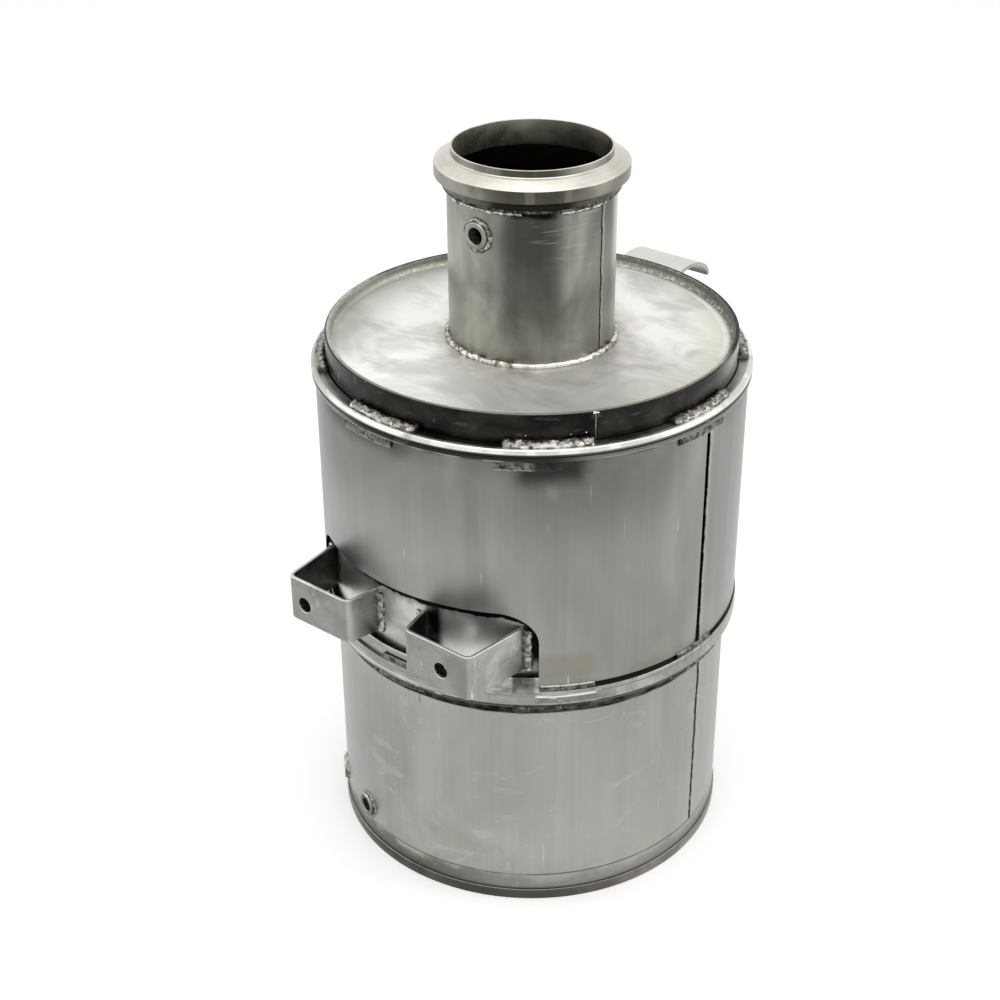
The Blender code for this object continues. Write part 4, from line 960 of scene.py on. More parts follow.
def pad_finish():
    """Mixes the wide flat stitches on the top ring, brown within, with painted highlights broken along
    their edges and painted shade on their undersides.
    """
    f = Finish("pad_weld_metal")
    lumps = f.noise((240, 240, 240), 3.0, 0.6, 0.6)
    colour = f.mix(f.level(lumps, 0.34, 0.66), (0.08, 0.075, 0.062), (0.36, 0.35, 0.31))
    # Painted highlights along the edges, broken up in patches and brightest on the near side
    patchy = f.level(f.noise((150, 150, 150), 3.0), 0.36, 0.56, 0.35, 1.0)
    reach = f.maths("ADD", f.radius, f.level(lumps, 0.3, 0.7, -0.0004, 0.0004))
    edges = f.maths("MAXIMUM", f.level(reach, 0.1667, 0.1674), f.level(f.z, 0.4208, 0.4216))
    near = f.level(f.towards(-48), 0.86, 0.96, 0.45, 1.0)
    colour = f.mix(f.times(edges, patchy, near), colour, (0.84, 0.83, 0.77))
    # Painted shade: darker where the stitch faces down
    colour = f.shade(colour, f.level(f.facing(2, 1.0, -0.85, 0.25), 0.0, 1.0, 0.3, 1.0))
    return f.done(colour, f.level(lumps, 0.35, 0.65, 0.45, 0.3), lumps, 0.3, 0.0005)


def rim_finish():
    """Mixes the even edge weld of the rim, blackened along its outer side at the back."""
    f = Finish("rim_weld_metal")
    lumps = f.noise((180, 180, 180), 3.0, 0.6, 0.6)
    colour = f.mix(f.level(lumps, 0.34, 0.66), (0.36, 0.355, 0.32), (0.56, 0.55, 0.5))
    colour = f.mix(f.level(f.towards(NEAR_SIDE), 0.2, 0.8), colour, (0.2, 0.2, 0.185))
    black = f.times(f.level(f.radius, 0.1555, 0.1562), f.level(f.towards(100), 0.02, 0.2))
    colour = f.mix(black, colour, (0.01, 0.01, 0.008))
    return f.done(colour, f.level(lumps, 0.35, 0.65, 0.45, 0.32), lumps, 0.2, 0.0004)


def shade_and_soot_finish():
    """Mixes the near-black of the threads and the bolt holes: painted shade deep within them, sooty and
    dull.
    """
    f = Finish("shaded_sooty_bore")
    cloud = f.noise((400, 400, 400), 3.0)
    colour = f.mix(f.level(cloud, 0.4, 0.65), (0.01, 0.01, 0.009), (0.05, 0.047, 0.04))
    return f.done(colour, f.level(cloud, 0.3, 0.7, 0.4, 0.6), cloud, 0.1)


def brick_finish():
    """Mixes the coated honeycomb: a fine square grid of pale walls round dark cells."""
    f = Finish("brick_washcoat", metal=0.0)
    pitch, wall_share = 0.00127, 0.2
    edges = []
    for along in (f.x, f.y):
        part = f.maths("FRACT", f.maths("DIVIDE", along, pitch))
        edges.append(f.maths("GREATER_THAN", part, 1 - wall_share))
    grid = f.maths("MAXIMUM", edges[0], edges[1])
    stain = f.noise((20, 20, 20), 3.0)
    web = f.mix(f.level(stain, 0.35, 0.65), (0.3, 0.27, 0.21), (0.42, 0.39, 0.31))
    colour = f.mix(grid, (0.02, 0.018, 0.015), web)
    return f.done(colour, 0.9, grid, 0.4, 0.0005)


def fibre_finish():
    """Mixes the pale matted fibre of the mat and the blanket."""
    f = Finish("mat_ceramic_fibre", metal=0.0)
    strands = f.noise((240, 240, 900), 4.0, 0.7, 1.5)
    colour = f.mix(f.level(strands, 0.35, 0.65), (0.5, 0.48, 0.42), (0.76, 0.74, 0.68))
    return f.done(colour, 0.95, strands, 0.7, 0.0008)


CAN_STEEL = can_finish()
SHELL_STEEL = shell_finish()
CHAMBER_STEEL = chamber_finish()
PLATE_STEEL = plate_finish()
NECK_STEEL = neck_finish()
TURNED_STEEL = turned_finish("turned_steel", (0.72, 0.695, 0.615), (0.045, 0.042, 0.03),
                             (0.27, 0.26, 0.225))
BOSS_STEEL = turned_finish("boss_steel", (0.5, 0.49, 0.44), (0.3, 0.29, 0.25), (0.33, 0.32, 0.28))
FOOT_STEEL = turned_finish("dull_turned_steel", (0.3, 0.29, 0.26), (0.045, 0.043, 0.036),
                           (0.19, 0.183, 0.158))
RING_STEEL = ring_finish()
BRACKET_STEEL = bracket_finish()
BRIGHT_WELD = weld_finish("bright_weld", (0.16, 0.153, 0.13), (0.78, 0.77, 0.71),
                          (0.36, 0.3, 0.23), 0.48)
SMOOTH_WELD = weld_finish("smooth_weld", (0.62, 0.61, 0.55), (0.92, 0.91, 0.86),
                          (0.7, 0.67, 0.58), 0.42)
GREY_WELD = weld_finish("grey_weld", (0.09, 0.087, 0.075), (0.46, 0.455, 0.41),
                        (0.2, 0.165, 0.12), 0.5)
RIM_WELD = rim_finish()
# Painted shade: a weld made dark for the beads that lie in shadow, under the inlet flange and under the
# low ring's toe
DARK_WELD = weld_finish("dark_weld", (0.02, 0.019, 0.016), (0.18, 0.175, 0.155),
                        (0.05, 0.042, 0.03), 0.55)
SEAM_WELD = weld_finish("seam_weld", (0.1, 0.098, 0.085), (0.26, 0.255, 0.23),
                        (0.15, 0.14, 0.115), 0.48)
TAB_WELD = tab_finish()
PAD_WELD = pad_finish()
SHADE_AND_SOOT = shade_and_soot_finish()
BRICK = brick_finish()
FIBRE = fibre_finish()


# ---- Outlet end ----


def outlet_flange():
    """Turns the flange under the can, with the spigot that stands up inside the can."""
    bore = CAN_R - CAN_WALL - GAP
    profile = eased([
        (FOOT_FLANGE_R, FOOT_FLANGE_TOP, 0.0007), (FOOT_FLANGE_R, 0.0, 0.0006),
        (FOOT_FLANGE_BORE, 0.0, 0.0005), (FOOT_FLANGE_BORE, FOOT_FLANGE_TOP, 0.001),
        (bore - SPIGOT_WALL, SPIGOT_TOP, 0.0004), (bore, SPIGOT_TOP, 0.0004),
        (bore, FOOT_FLANGE_TOP, 0.0)], 0.0005, 3)
    hand_over(turned("outlet_flange_ring", profile), FOOT_STEEL, "flange_steel", "outlet_flange")


def seam_blade(name, angle, radius, low, high, wide, deep, wander):
    """Makes a thin wavering blade that cuts an upright seam."""
    deselect()
    bpy.ops.mesh.primitive_cube_add(size=1.0)
    blade = bpy.context.object
    blade.name = name
    blade.scale = (2 * deep, wide, high - low)
    settle()
    bpy.ops.object.mode_set(mode="EDIT")
    bpy.ops.mesh.select_all(action="SELECT")
    slices = round((high - low) / 0.004)
    for i in range(1, slices):
        bpy.ops.mesh.select_all(action="SELECT")
        bpy.ops.mesh.bisect(plane_co=(0, 0, low - high + (high - low) * (0.5 + i / slices)),
                            plane_no=(0, 0, 1))
    bpy.ops.object.mode_set(mode="OBJECT")
    turn = Matrix.Rotation(math.radians(angle), 4, "Z")
    blade.matrix_world = Matrix.Translation(polar(radius, angle, (low + high) / 2)) @ turn
    pick(blade)
    settle()
    push_about(blade, WELD_LUMPS, wander, direction="Y")
    return blade


def catalyst_can():
    """Rolls the can, opens it for the bosses, cuts its seam and lays the bead on its joint."""
    bore = CAN_R - CAN_WALL
    profile = eased([(CAN_R, CAN_TOP), (CAN_R, CAN_FOOT), (bore, CAN_FOOT), (bore, CAN_TOP)], 0.0003, 2)
    can = turned("can_wall", profile)
    for angle, height in (FRONT_BOSS, SIDE_BOSS):
        cut(can, drill(BOSS_HOLE_R, outward(angle, CAN_R, height), 0.03))
    cut(can, seam_blade("can_seam", CAN_SEAM_ANGLE, CAN_R, 0.027, 0.19, 0.0011, 0.0009, 0.0008))
    hand_over(can, CAN_STEEL, "can_steel", "catalyst_can")
    bead = arc_bead("can_joint_bead", 0.1602, 0.3012, 0, 360, 0.002, 0.0022, 0.004, 6)
    hand_over(bead, GREY_WELD, "weld_metal", "can_joint_weld")


def turned_at(name, profile, place, steps=SMALL_ROUND):
    """Spins a closed profile about its own axis and puts the piece in its place."""
    points = [Vector((r, 0, h)) for r, h in profile]
    piece = draw_line(name, points + points[:1])
    merge_all()
    spin_round(steps, 360, (0, 0, 0))
    close_up(piece)
    piece.matrix_world = place
    return piece


def boss(node, spot, radius, bead_width):
    """Turns one boss and its sooty thread, darkened further by painted shade, and lays its weld on a wall
    of the given radius.
    """
    outer, bore, crest = 0.0102, 0.0060, 0.0054
    top, tail, pitch = 0.003, -0.0065, 0.0015
    angle, height = spot
    place = outward(angle, radius, height)
    profile = [(outer - 0.0008, top), (bore + 0.0007, top), (bore + 0.0004, top - 0.0004),
               (bore + 0.0004, tail), (outer, tail), (outer, top - 0.0008)]
    hand_over(turned_at(node + "_ring", profile, place), BOSS_STEEL, "flange_steel", node)
    thread = [(bore + 0.0004, tail), (bore + 0.0004, top - 0.0004)]
    z = top - 0.0004
    while z - pitch > tail:
        thread += [(bore, z), (crest, z - pitch / 2)]
        z -= pitch
    thread += [(bore, tail)]
    # The thread is near-black with painted shade, as deep in the bore
    hand_over(turned_at(node + "_thread", thread, place), SHADE_AND_SOOT, "flange_steel", node)
    weld = ring_bead(node + "_bead", outer + bead_width * 0.3, bead_width, bead_width, place, radius)
    roughen(weld, bead_width * 0.5, bead_width * 0.2)
    hand_over(weld, GREY_WELD, "weld_metal", node + "_weld")


# ---- Catalyst inside ----


def catalyst():
    """Presses the two retaining rings, and paints the brick, the mat and the blanket as they are."""
    bore = CAN_R - CAN_WALL - GAP
    inner = bore - 0.0015
    for name, face, way in (("lower_retaining_ring", BRICK_FOOT, -1),
                            ("upper_retaining_ring", BRICK_TOP, 1)):
        near, far, end = face + way * GAP, face + way * 0.0018, face + way * 0.0131
        profile = eased([(bore, near, 0.002), (RETAINER_BORE, near, 0.0004), (RETAINER_BORE, far, 0.0004),
                         (inner, far, 0.001), (inner, end, 0.0004), (bore, end, 0.0004)], 0.0004, 3)
        hand_over(turned(name + "_sheet", profile), CAN_STEEL, "can_steel", name)
    for node, finish in (("catalyst_brick", BRICK), ("mounting_mat", FIBRE),
                         ("insulation_blanket", FIBRE)):
        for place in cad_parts[node].material_slots:
            place.material = finish


# ---- Inlet chamber, end plate and rim ----


def inlet_chamber():
    """Rolls the chamber's wall and lays its seam's bead, with a brighter end at the rim."""
    bore = CHAMBER_R - CHAMBER_WALL
    wall = turned("chamber_sheet", eased([
        (CHAMBER_R, RIM_Z, 0.0006), (CHAMBER_R, CHAMBER_FOOT), (bore, CHAMBER_FOOT),
        (bore, RIM_Z, 0.0006)], 0.0003, 3))
    hand_over(wall, CHAMBER_STEEL, "can_steel", "inlet_chamber_wall")
    x, y = polar(CHAMBER_R - 0.0001, CHAMBER_SEAM_ANGLE)[:2]
    seam = upright_bead("chamber_seam_bead", x, y, 0.4160, 0.4378, 0.0014, 0.0011, 0.0008, 8)
    roughen(seam, 0.0004, 0.0002)
    hand_over(seam, SEAM_WELD, "weld_metal", "inlet_chamber_wall")
    end = arc_bead("chamber_seam_end", CHAMBER_R - 0.0008, 0.4374, CHAMBER_SEAM_ANGLE - 0.7, 1.7,
                   0.0024, 0.0020, 0.0008, 8)
    roughen(end, 0.0004, 0.0002)
    hand_over(end, SMOOTH_WELD, "weld_metal", "inlet_chamber_wall")


def end_plate():
    """Turns the shallow pan, flat within and turned up at its edge, and lays the rim's weld."""
    outer, hole = CHAMBER_R - CHAMBER_WALL - GAP, NECK_R + GAP
    top, wall, lip = PLATE_Z, PLATE_WALL, PLATE_Z + 0.0077
    profile = eased([
        (hole, top, 0.0003), (outer - wall, top, 0.0074), (outer - wall, lip, 0.0009),
        (outer, lip, 0.0006), (outer, top - wall, 0.0098), (hole, top - wall, 0.0003)], 0.0004, 10)
    hand_over(turned("end_plate_pan", profile), PLATE_STEEL, "plate_steel", "inlet_end_plate")
    bead = arc_bead("rim_bead", outer - 0.0006, lip + 0.0004, 0, 360, 0.0024, 0.0016, 0.002, 8)
    roughen(bead, 0.0003, 0.0001)
    hand_over(bead, RIM_WELD, "weld_metal", "rim_weld")


# ---- Neck and inlet flange ----


def inlet_neck():
    """Rolls the neck tube with its seam and sensor hole, and lays the welds at its foot and flange."""
    bore, foot = NECK_R - NECK_WALL, PLATE_Z - NECK_SINK
    tube = turned("neck_sheet", eased([
        (NECK_R, NECK_TOP), (NECK_R, foot), (bore, foot), (bore, NECK_TOP)], 0.0003, 2))
    angle, height = NECK_BOSS
    cut(tube, drill(BOSS_HOLE_R, outward(angle, NECK_R, height), 0.03))
    cut(tube, seam_blade("neck_seam", NECK_SEAM_ANGLE, NECK_R, 0.4335, 0.5465, 0.0009, 0.0008, 0.0011))
    hand_over(tube, NECK_STEEL, "neck_steel", "neck_tube")
    for run, start, span, width, lumps, finish in (
            ("rough", -9.5, 306, 0.0054, 0.0020, BRIGHT_WELD),
            ("smooth", -64.5, 43.5, 0.0056, 0.0006, SMOOTH_WELD),
            ("end", -22.0, 13.5, 0.0062, 0.0010, SMOOTH_WELD)):
        bead = arc_bead(f"neck_foot_{run}_bead", NECK_R + 0.0012, PLATE_Z + 0.0011, start, span,
                        width, 0.0052, 0.0013)
        roughen(bead, lumps, lumps / 3)
        hand_over(bead, finish, "weld_metal", "neck_foot_weld")
    # The bead under the flange is painted dark as the flange's shadow on it
    under = arc_bead("flange_bead", NECK_R + 0.0012, 0.5512, 0, 360, 0.0040, 0.0040, 0.0016)
    roughen(under, 0.0012, 0.0005)
    hand_over(under, DARK_WELD, "weld_metal", "inlet_flange_weld")
    for i, (start, span) in enumerate(((-118, 60), (-33, 37), (42, 66), (140, 58))):
        run = arc_bead(f"flange_run_{i + 1}", NECK_R + 0.0010, 0.5500, start, span,
                       0.0036, 0.0048, 0.0013)
        roughen(run, 0.0022, 0.0007)
        hand_over(run, BRIGHT_WELD, "weld_metal", "inlet_flange_weld")


def inlet_flange():
    """Turns the V-band flange: lip, sloped top, rim, sloped back, and the sleeve down its bore."""
    bore, hub = NECK_R + GAP, NECK_R + GAP + 0.0028
    profile = eased([
        (0.0603, INLET_TOP, 0.0004), (0.0603, 0.5749, 0.0005), (0.0611, 0.5743, 0.0002),
        (FLANGE_R, 0.569, 0.0007), (FLANGE_R, 0.5597, 0.0006), (hub, 0.5565, 0.0006),
        (hub, FLANGE_FOOT, 0.0004), (bore, FLANGE_FOOT, 0.0002), (bore, 0.5655, 0.0001),
        (0.0614, 0.5655, 0.0001), (0.0613, 0.5604, 0.0006), (0.0589, 0.5600, 0.0006),
        (0.0588, INLET_TOP, 0.0003)], 0.0003, 4)
    hand_over(turned("inlet_flange_ring", profile), TURNED_STEEL, "flange_steel", "inlet_flange", angle=24)


# ---- Heat shield shell ----


def window_block():
    """Makes the block that cuts the round-cornered window, open at its foot."""
    foot = 0.16
    deselect()
    bpy.ops.mesh.primitive_plane_add(size=1.0, location=(0, AXIS_Y - 0.09, (WINDOW_TOP + foot) / 2),
                                     rotation=(math.pi / 2, 0, 0))
    block = bpy.context.object
    block.scale = (2 * WINDOW_HALF, WINDOW_TOP - foot, 1.0)
    settle()
    bpy.ops.object.mode_set(mode="EDIT")
    bpy.ops.mesh.select_mode(type="VERT")
    bpy.ops.mesh.select_all(action="DESELECT")
    bpy.ops.object.mode_set(mode="OBJECT")
    for point in block.data.vertices:
        point.select = point.co.z > foot + 0.01
    bpy.ops.object.mode_set(mode="EDIT")
    bpy.ops.mesh.bevel(offset=WINDOW_CORNER, segments=10, affect="VERTICES")
    bpy.ops.mesh.select_all(action="SELECT")
    bpy.ops.mesh.extrude_region_move(TRANSFORM_OT_translate={"value": (0, -0.12, 0)})
    return close_up(block)


def heat_shield():
    """Rolls the shell once round and on under its own start, and cuts its window."""
    over = SHELL_R - SHELL_WALL / 2
    under = SHELL_R - SHELL_WALL * 1.5 - GAP
    slit, joggle = 0.41, 0.92
    points = [polar(over, LAP_ANGLE, z) for z in (SHELL_FOOT, SHELL_FOOT + 0.008, SHELL_TOP)]
    shell = draw_line("shell_sheet", points)
    bpy.ops.mesh.select_all(action="SELECT")
    spin_round(ROUND, 360 - slit - joggle)
    start = polar(over, LAP_ANGLE - slit - joggle)
    step = polar(under, LAP_ANGLE - slit) - start
    bpy.ops.mesh.extrude_region_move(TRANSFORM_OT_translate={"value": step})
    spin_round(8, LAP_SPAN)
    merge_all()
    bpy.ops.object.mode_set(mode="OBJECT")
    # The part under the lap starts higher, which leaves the hollow at the lap's foot
    for point in shell.data.vertices:
        away = math.hypot(point.co.x, point.co.y - AXIS_Y)
        if away < SHELL_R - SHELL_WALL and point.co.z < SHELL_FOOT + 0.001:
            point.co.z = SHELL_FOOT + 0.0079
    work(shell, "SOLIDIFY", thickness=SHELL_WALL, offset=0.0, use_even_offset=True)
    pick(shell)
    bpy.ops.object.mode_set(mode="EDIT")
    close_up(shell)
    cut(shell, window_block())
    soften(shell, 0.00035)
    hand_over(shell, SHELL_STEEL, "shell_steel", "heat_shield_shell")


# ---- Closing rings and their stitch welds ----


def stitch_row(name, finish, node, radius, height, start, span, width, tall, lumps, grain, pulls=()):
    """Lays one row of short welds, drawn once and copied round the can.

    The pulls pair a copy's number with the degrees that it is moved along.
    """
    first = arc_bead(name + "_1", radius, height, start, span, width, tall)
    for i in range(1, STITCH_COUNT):
        twin = turned_copy(first, f"{name}_{i + 1}", 360 / STITCH_COUNT * i + dict(pulls).get(i, 0))
        roughen(twin, lumps, grain)
        hand_over(twin, finish, "weld_metal", node)
    roughen(first, lumps, grain)
    hand_over(first, finish, "weld_metal", node)


def spatter():
    """Sets three droplets over the front inner stitch, joined into one piece."""
    drops = []
    for angle, height, size in ((-53.2, 0.4228, 0.0005), (-41.8, 0.4228, 0.0005),
                                (-37.8, 0.4232, 0.0006)):
        deselect()
        bpy.ops.mesh.primitive_ico_sphere_add(subdivisions=2, radius=size,
                                              location=polar(CHAMBER_R, angle, height))
        drops.append(bpy.context.object)
    deselect()
    for drop in drops:
        drop.select_set(True)
    bpy.context.view_layer.objects.active = drops[0]
    bpy.ops.object.join()
    drops[0].name = "spatter_drops"
    pick(drops[0])
    settle()
    push_about(drops[0], WELD_GRAIN, 0.0003)
    hand_over(drops[0], SMOOTH_WELD, "weld_metal", "top_closing_ring")


def top_ring():
    """Presses the half-round top ring and its skirt, and lays its two rows of stitches and the spatter."""
    inner, outer = CHAMBER_R + GAP, SHELL_R + GAP + 0.0024
    crown, foot = CROWN_Z, 0.4072
    profile = eased([
        (inner, crown - 0.0004, 0.0012), (0.1650, crown, 0.0100),
        (outer - 0.0002, crown - 0.0002, 0.0044), (outer, 0.4120, 0.0004),
        (outer - 0.0010, 0.4117, 0.0003), (outer - 0.0009, 0.4110, 0.0003),
        (outer - 0.0002, 0.4106, 0.0003), (outer - 0.0002, foot, 0.0004),
        (outer - 0.0012, foot, 0.0002), (outer - 0.0018, 0.4125, 0.0003),
        (outer - 0.0022, crown - 0.0016, 0.0035), (inner + 0.0012, crown - 0.0014, 0.001),
        (inner + 0.0012, 0.4125, 0.0004), (inner, 0.4125, 0.0004)], 0.0004, 5)
    hand_over(turned("top_ring_sheet", profile), RING_STEEL, "ring_steel", "top_closing_ring")
    stitch_row("top_inner_stitch", PAD_WELD, "top_closing_ring", CHAMBER_R + 0.0040, crown + 0.0010,
               -58.9, 22.6, 0.0086, 0.0066, 0.0022, 0.0008)
    stitch_row("top_outer_stitch", TAB_WELD, "top_closing_ring", SHELL_R + 0.0006, 0.4040,
               -61.0, 17.0, 0.0034, 0.0086, 0.0006, 0.0003, ((1, 3.0), (7, 1.0)))
    spatter()


def low_ring():
    """Presses the low ring: skirt inside the shell, ridge and toe, and lays its two rows of stitches."""
    bore = SHELL_R - SHELL_WALL - GAP
    profile = eased([
        (bore, 0.2220, 0.0004), (bore, 0.2122, 0.0006), (0.1694, 0.2104, 0.0007),
        (0.1695, 0.1985, 0.0016), (0.1672, 0.1953, 0.0006), (0.1645, 0.1962, 0.0006),
        (CAN_R + GAP, 0.1944, 0.0003), (CAN_R + GAP, 0.1975, 0.0003), (0.1645, 0.1985, 0.0005),
        (0.1668, 0.1975, 0.0006), (0.1681, 0.2000, 0.0012), (0.1681, 0.2092, 0.0007),
        (bore - 0.0012, 0.2112, 0.0006), (bore - 0.0012, 0.2220, 0.0004)], 0.0004, 4)
    hand_over(turned("low_ring_sheet", profile), RING_STEEL, "ring_steel", "lower_closing_ring")
    stitch_row("low_outer_stitch", TAB_WELD, "lower_closing_ring", SHELL_R - 0.0002, 0.2133,
               -49.3, 14.4, 0.0030, 0.0058, 0.0006, 0.0003, ((1, -5.5),))
    # The inner stitches are painted dark as the shadow under the ring's toe
    stitch_row("low_inner_stitch", DARK_WELD, "lower_closing_ring", CAN_R + 0.0030, 0.1940,
               -56.5, 21.0, 0.0070, 0.0062, 0.0014, 0.0006)


# ---- Brackets and strap ----


def fold_sheet(name, points, step):
    """Draws a line out into a strip and gives it the brackets' sheet thickness."""
    strip = draw_line(name, points)
    bpy.ops.mesh.select_all(action="SELECT")
    bpy.ops.mesh.extrude_region_move(TRANSFORM_OT_translate={"value": step})
    bpy.ops.mesh.normals_make_consistent(inside=False)
    bpy.ops.object.mode_set(mode="OBJECT")
    work(strip, "SOLIDIFY", thickness=BRACKET_SHEET, offset=0.0, use_even_offset=True)
    return strip


def seat_on(piece, radius, height, depth):
    """Cuts a piece back to the common clearance from a wall of the given radius."""
    place = Matrix.Translation(AXIS + Vector((0, 0, height)))
    cut(piece, drill(radius + GAP, place, depth, ROUND))


def bracket_plan(side):
    """Gives a bracket's plan, from its outer foot round to its inner foot."""
    outer_foot = BRACKET_OUTER + BRACKET_DEPTH * math.tan(math.radians(OUTER_SPLAY))
    inner_foot = BRACKET_INNER - BRACKET_DEPTH * math.tan(math.radians(INNER_SPLAY))
    foot_y = BRACKET_DEPTH - BRACKET_FRONT
    corners = [(outer_foot, foot_y), (BRACKET_OUTER, -BRACKET_FRONT),
               (BRACKET_INNER, -BRACKET_FRONT), (inner_foot, foot_y)]
    line = [corners[0]]
    for i in (1, 2):
        at = Vector(corners[i])
        back = (Vector(corners[i - 1]) - at).normalized()
        ahead = (Vector(corners[i + 1]) - at).normalized()
        reach = BRACKET_BEND / math.tan(back.angle(ahead) / 2)
        line += round_corner(at + back * reach, at, at + ahead * reach, 8)
    line.append(corners[3])
    return [(side * p[0], AXIS_Y + p[1]) for p in line]


def leg_foot(foot, bend):
    """Gives the place where a leg's middle meets the can."""
    start = Vector(bend) - Vector((0, AXIS_Y))
    way = (Vector(foot) - Vector(bend)).normalized()
    along = start.dot(way)
    reach = -along - math.sqrt(along * along - start.length_squared + CAN_R * CAN_R)
    at = start + way * reach
    return at.x, at.y + AXIS_Y


def bracket(node, side, hole_x, heavy):
    """Folds one bracket, seats it on the can, drills its bolt hole and lays the welds of its legs."""
    low, tall = BRACKET_FOOT, BRACKET_TALL
    plan = bracket_plan(side)
    channel = fold_sheet(node + "_channel", [Vector((x, y, low)) for x, y in plan], (0, 0, tall))
    seat_on(channel, CAN_R, low + tall / 2, 0.1)
    lay = Matrix.Rotation(math.radians(90), 4, "X")
    cut(channel, drill(BOLT_R, Matrix.Translation((hole_x, AXIS_Y - BRACKET_FRONT, BOLT_Z)) @ lay, 0.02))
    soften(channel, 0.0007, 3)
    hand_over(channel, BRACKET_STEEL, "bracket_steel", node)
    # A drawn rim behind the bolt hole, painted near-black so that the hole shows the shade within it
    near, far, edge = -0.0006, -0.0095, BOLT_R + 0.0012
    rim = [(BOLT_R, near), (edge, near), (edge, far), (BOLT_R, far)]
    face = Matrix.Translation((hole_x, AXIS_Y - BRACKET_FRONT - BRACKET_SHEET / 2, BOLT_Z)) @ lay
    hand_over(turned_at(node + "_hole_rim", rim, face), SHADE_AND_SOOT, "bracket_steel", node)
    for end, foot, bend, way in (("outer", plan[0], plan[1], 1), ("inner", plan[-1], plan[-2], -1)):
        x, y = leg_foot(foot, bend)
        width, finish = (0.0088, GREY_WELD) if end == heavy else (0.0062, BRIGHT_WELD)
        bead = upright_bead(f"{node}_{end}_bead", x + side * way * 0.0034, y - 0.0006, low + 0.0006,
                            low + tall - 0.0008, width, 0.0066)
        roughen(bead, 0.0020, 0.0007)
        hand_over(bead, finish, "weld_metal", f"{node}_{end}_weld")


def rear_strap():
    """Bends the strap up from the rim to a crest and round to its tip: from the side, half an arch."""
    foot, crest = (0.1572, 0.4326), (0.1735, 0.4356)
    front, tip, half = 0.2035, 0.4195, 0.029
    rise = (crest[1] - foot[1]) / (crest[0] - foot[0]) ** 2
    line = [(y, crest[1] - rise * (crest[0] - y) ** 2) for y in (0.148, 0.154, 0.159, 0.164, 0.169)]
    for k in range(13):
        turn = math.radians(90 * k / 12)
        line.append((crest[0] + (front - crest[0]) * math.sin(turn),
                     tip + (crest[1] - tip) * math.cos(turn)))
    strap = fold_sheet("rear_strap_plate", [Vector((-half, AXIS_Y + y, z)) for y, z in line],
                       (2 * half, 0, 0))
    seat_on(strap, CHAMBER_R, crest[1], 0.06)
    soften(strap, 0.0005, 3)
    hand_over(strap, BRACKET_STEEL, "bracket_steel", "rear_strap")
    bead = arc_bead("rear_strap_bead", CHAMBER_R + 0.0014, 0.4300, 82.0, 16.0, 0.0040, 0.0042)
    roughen(bead, 0.0018, 0.0006)
    hand_over(bead, BRIGHT_WELD, "weld_metal", "rear_strap_weld")


# ---- Stage ----


def backdrop_light(nodes, links, plain, seen):
    """Gives one strength to what the lens and the reflections see, and another to the rest."""
    path = nodes.new("ShaderNodeLightPath")
    most = path.outputs["Is Camera Ray"]
    for ray in ("Is Glossy Ray", "Is Transmission Ray"):
        either = nodes.new("ShaderNodeMath")
        either.operation = "MAXIMUM"
        links.new(most, either.inputs[0])
        links.new(path.outputs[ray], either.inputs[1])
        most = either.outputs[0]
    strength = nodes.new("ShaderNodeMapRange")
    strength.inputs["To Min"].default_value = plain
    strength.inputs["To Max"].default_value = seen
    links.new(most, strength.inputs["Value"])
    return strength.outputs["Result"]


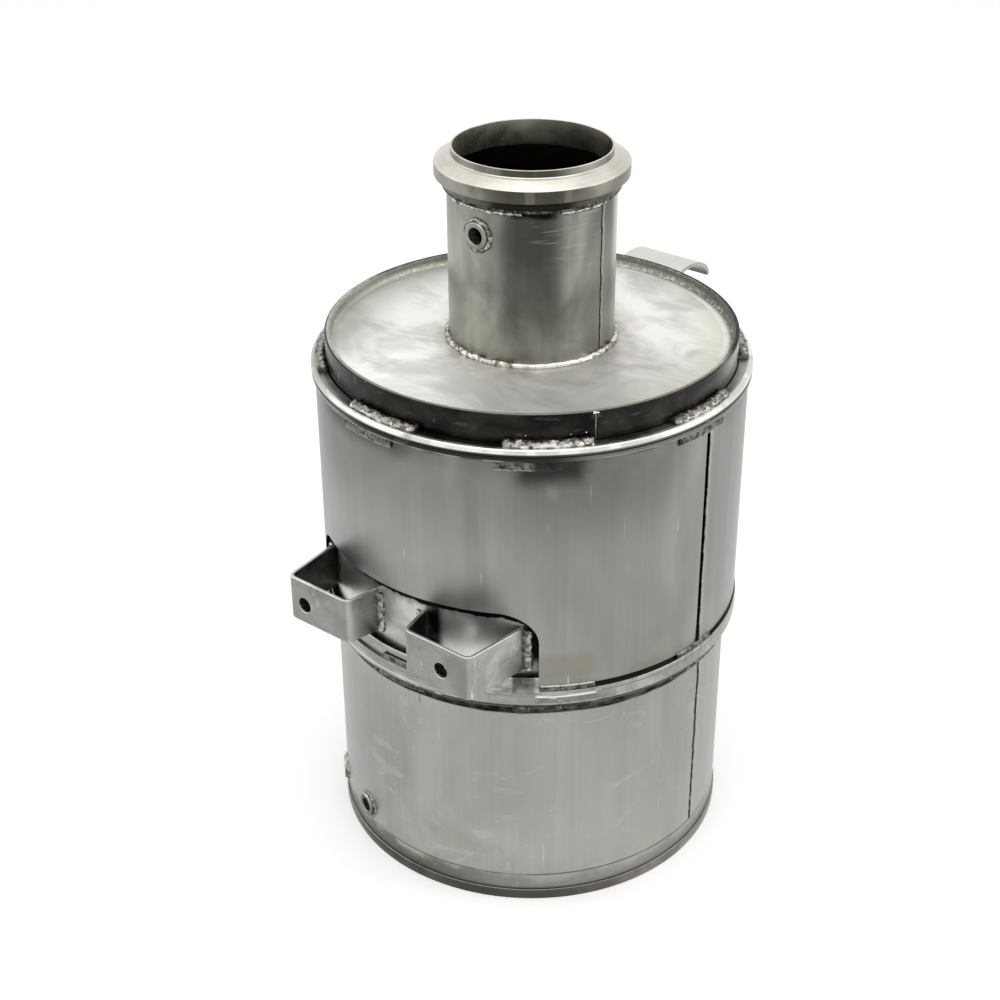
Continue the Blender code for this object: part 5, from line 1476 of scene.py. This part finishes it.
def stage():
    """Lays the pale floor and fills the room with even light."""
    deselect()
    bpy.ops.mesh.primitive_plane_add(size=14.0, location=(0, 0, 0))
    floor = bpy.context.object
    floor.name = "pale_floor"
    paint = bpy.data.materials.new("pale_floor_paint")
    paint.use_nodes = True
    nodes, links = paint.node_tree.nodes, paint.node_tree.links
    shader = nodes["Principled BSDF"]
    shader.inputs["Base Color"].default_value = (0.8, 0.8, 0.8, 1.0)
    shader.inputs["Roughness"].default_value = 0.9
    shader.inputs["Specular IOR Level"].default_value = 0.1
    shader.inputs["Emission Color"].default_value = (1.0, 1.0, 1.0, 1.0)
    links.new(backdrop_light(nodes, links, 0.0, 0.36), shader.inputs["Emission Strength"])
    floor.data.materials.append(paint)
    world = bpy.data.worlds.new("studio")
    bpy.context.scene.world = world
    world.use_nodes = True
    nodes, links = world.node_tree.nodes, world.node_tree.links
    back = nodes["Background"]
    back.inputs["Color"].default_value = (1.0, 1.0, 1.0, 1.0)
    links.new(backdrop_light(nodes, links, 0.72, 1.0), back.inputs["Strength"])


def softbox(name, place, size, power):
    """Hangs one broad lamp, aimed at the middle of the object."""
    deselect()
    bpy.ops.object.light_add(type="AREA", location=place)
    lamp = bpy.context.object
    lamp.name = name
    lamp.data.shape = "RECTANGLE"
    lamp.data.size, lamp.data.size_y = size
    lamp.data.energy = power
    lamp.rotation_mode = "QUATERNION"
    lamp.rotation_quaternion = (Vector((0, 0, 0.3)) - Vector(place)).to_track_quat("-Z", "Y")


def camera():
    """Sets up the lens in the place from which the photograph was taken."""
    data = bpy.data.cameras.new("view")
    data.lens = 63.18
    data.sensor_width = 36.0
    data.clip_start = 0.05
    data.clip_end = 60.0
    eye = bpy.data.objects.new("view", data)
    bpy.context.collection.objects.link(eye)
    right, up = (0.77475, 0.63223, -0.00562), (-0.30961, 0.38714, 0.86848)
    back = (0.55126, -0.67112, 0.4957)
    turn = Matrix((right, up, back)).transposed().to_4x4()
    eye.matrix_world = Matrix.Translation((0.7683, -0.9832, 0.9891)) @ turn
    bpy.context.scene.camera = eye


camera()
stage()
softbox("overhead", (0.2, -0.3, 2.4), (2.4, 2.4), 17)
softbox("left_side", (-1.9, -1.2, 1.0), (0.8, 1.8), 9)
softbox("right_side", (1.6, 0.9, 1.0), (0.7, 1.8), 8)

outlet_flange()
catalyst_can()
boss("front_outlet_boss", FRONT_BOSS, CAN_R, bead_width=0.0026)
boss("side_outlet_boss", SIDE_BOSS, CAN_R, bead_width=0.0026)
catalyst()
inlet_chamber()
end_plate()
inlet_neck()
inlet_flange()
boss("neck_sensor_boss", NECK_BOSS, NECK_R, bead_width=0.0040)
heat_shield()
top_ring()
low_ring()
bracket("left_bracket", side=-1, hole_x=-0.0746, heavy="inner")
bracket("right_bracket", side=1, hole_x=0.0647, heavy="outer")
rear_strap()

bpy.context.scene.view_settings.view_transform = "Standard"
deselect()
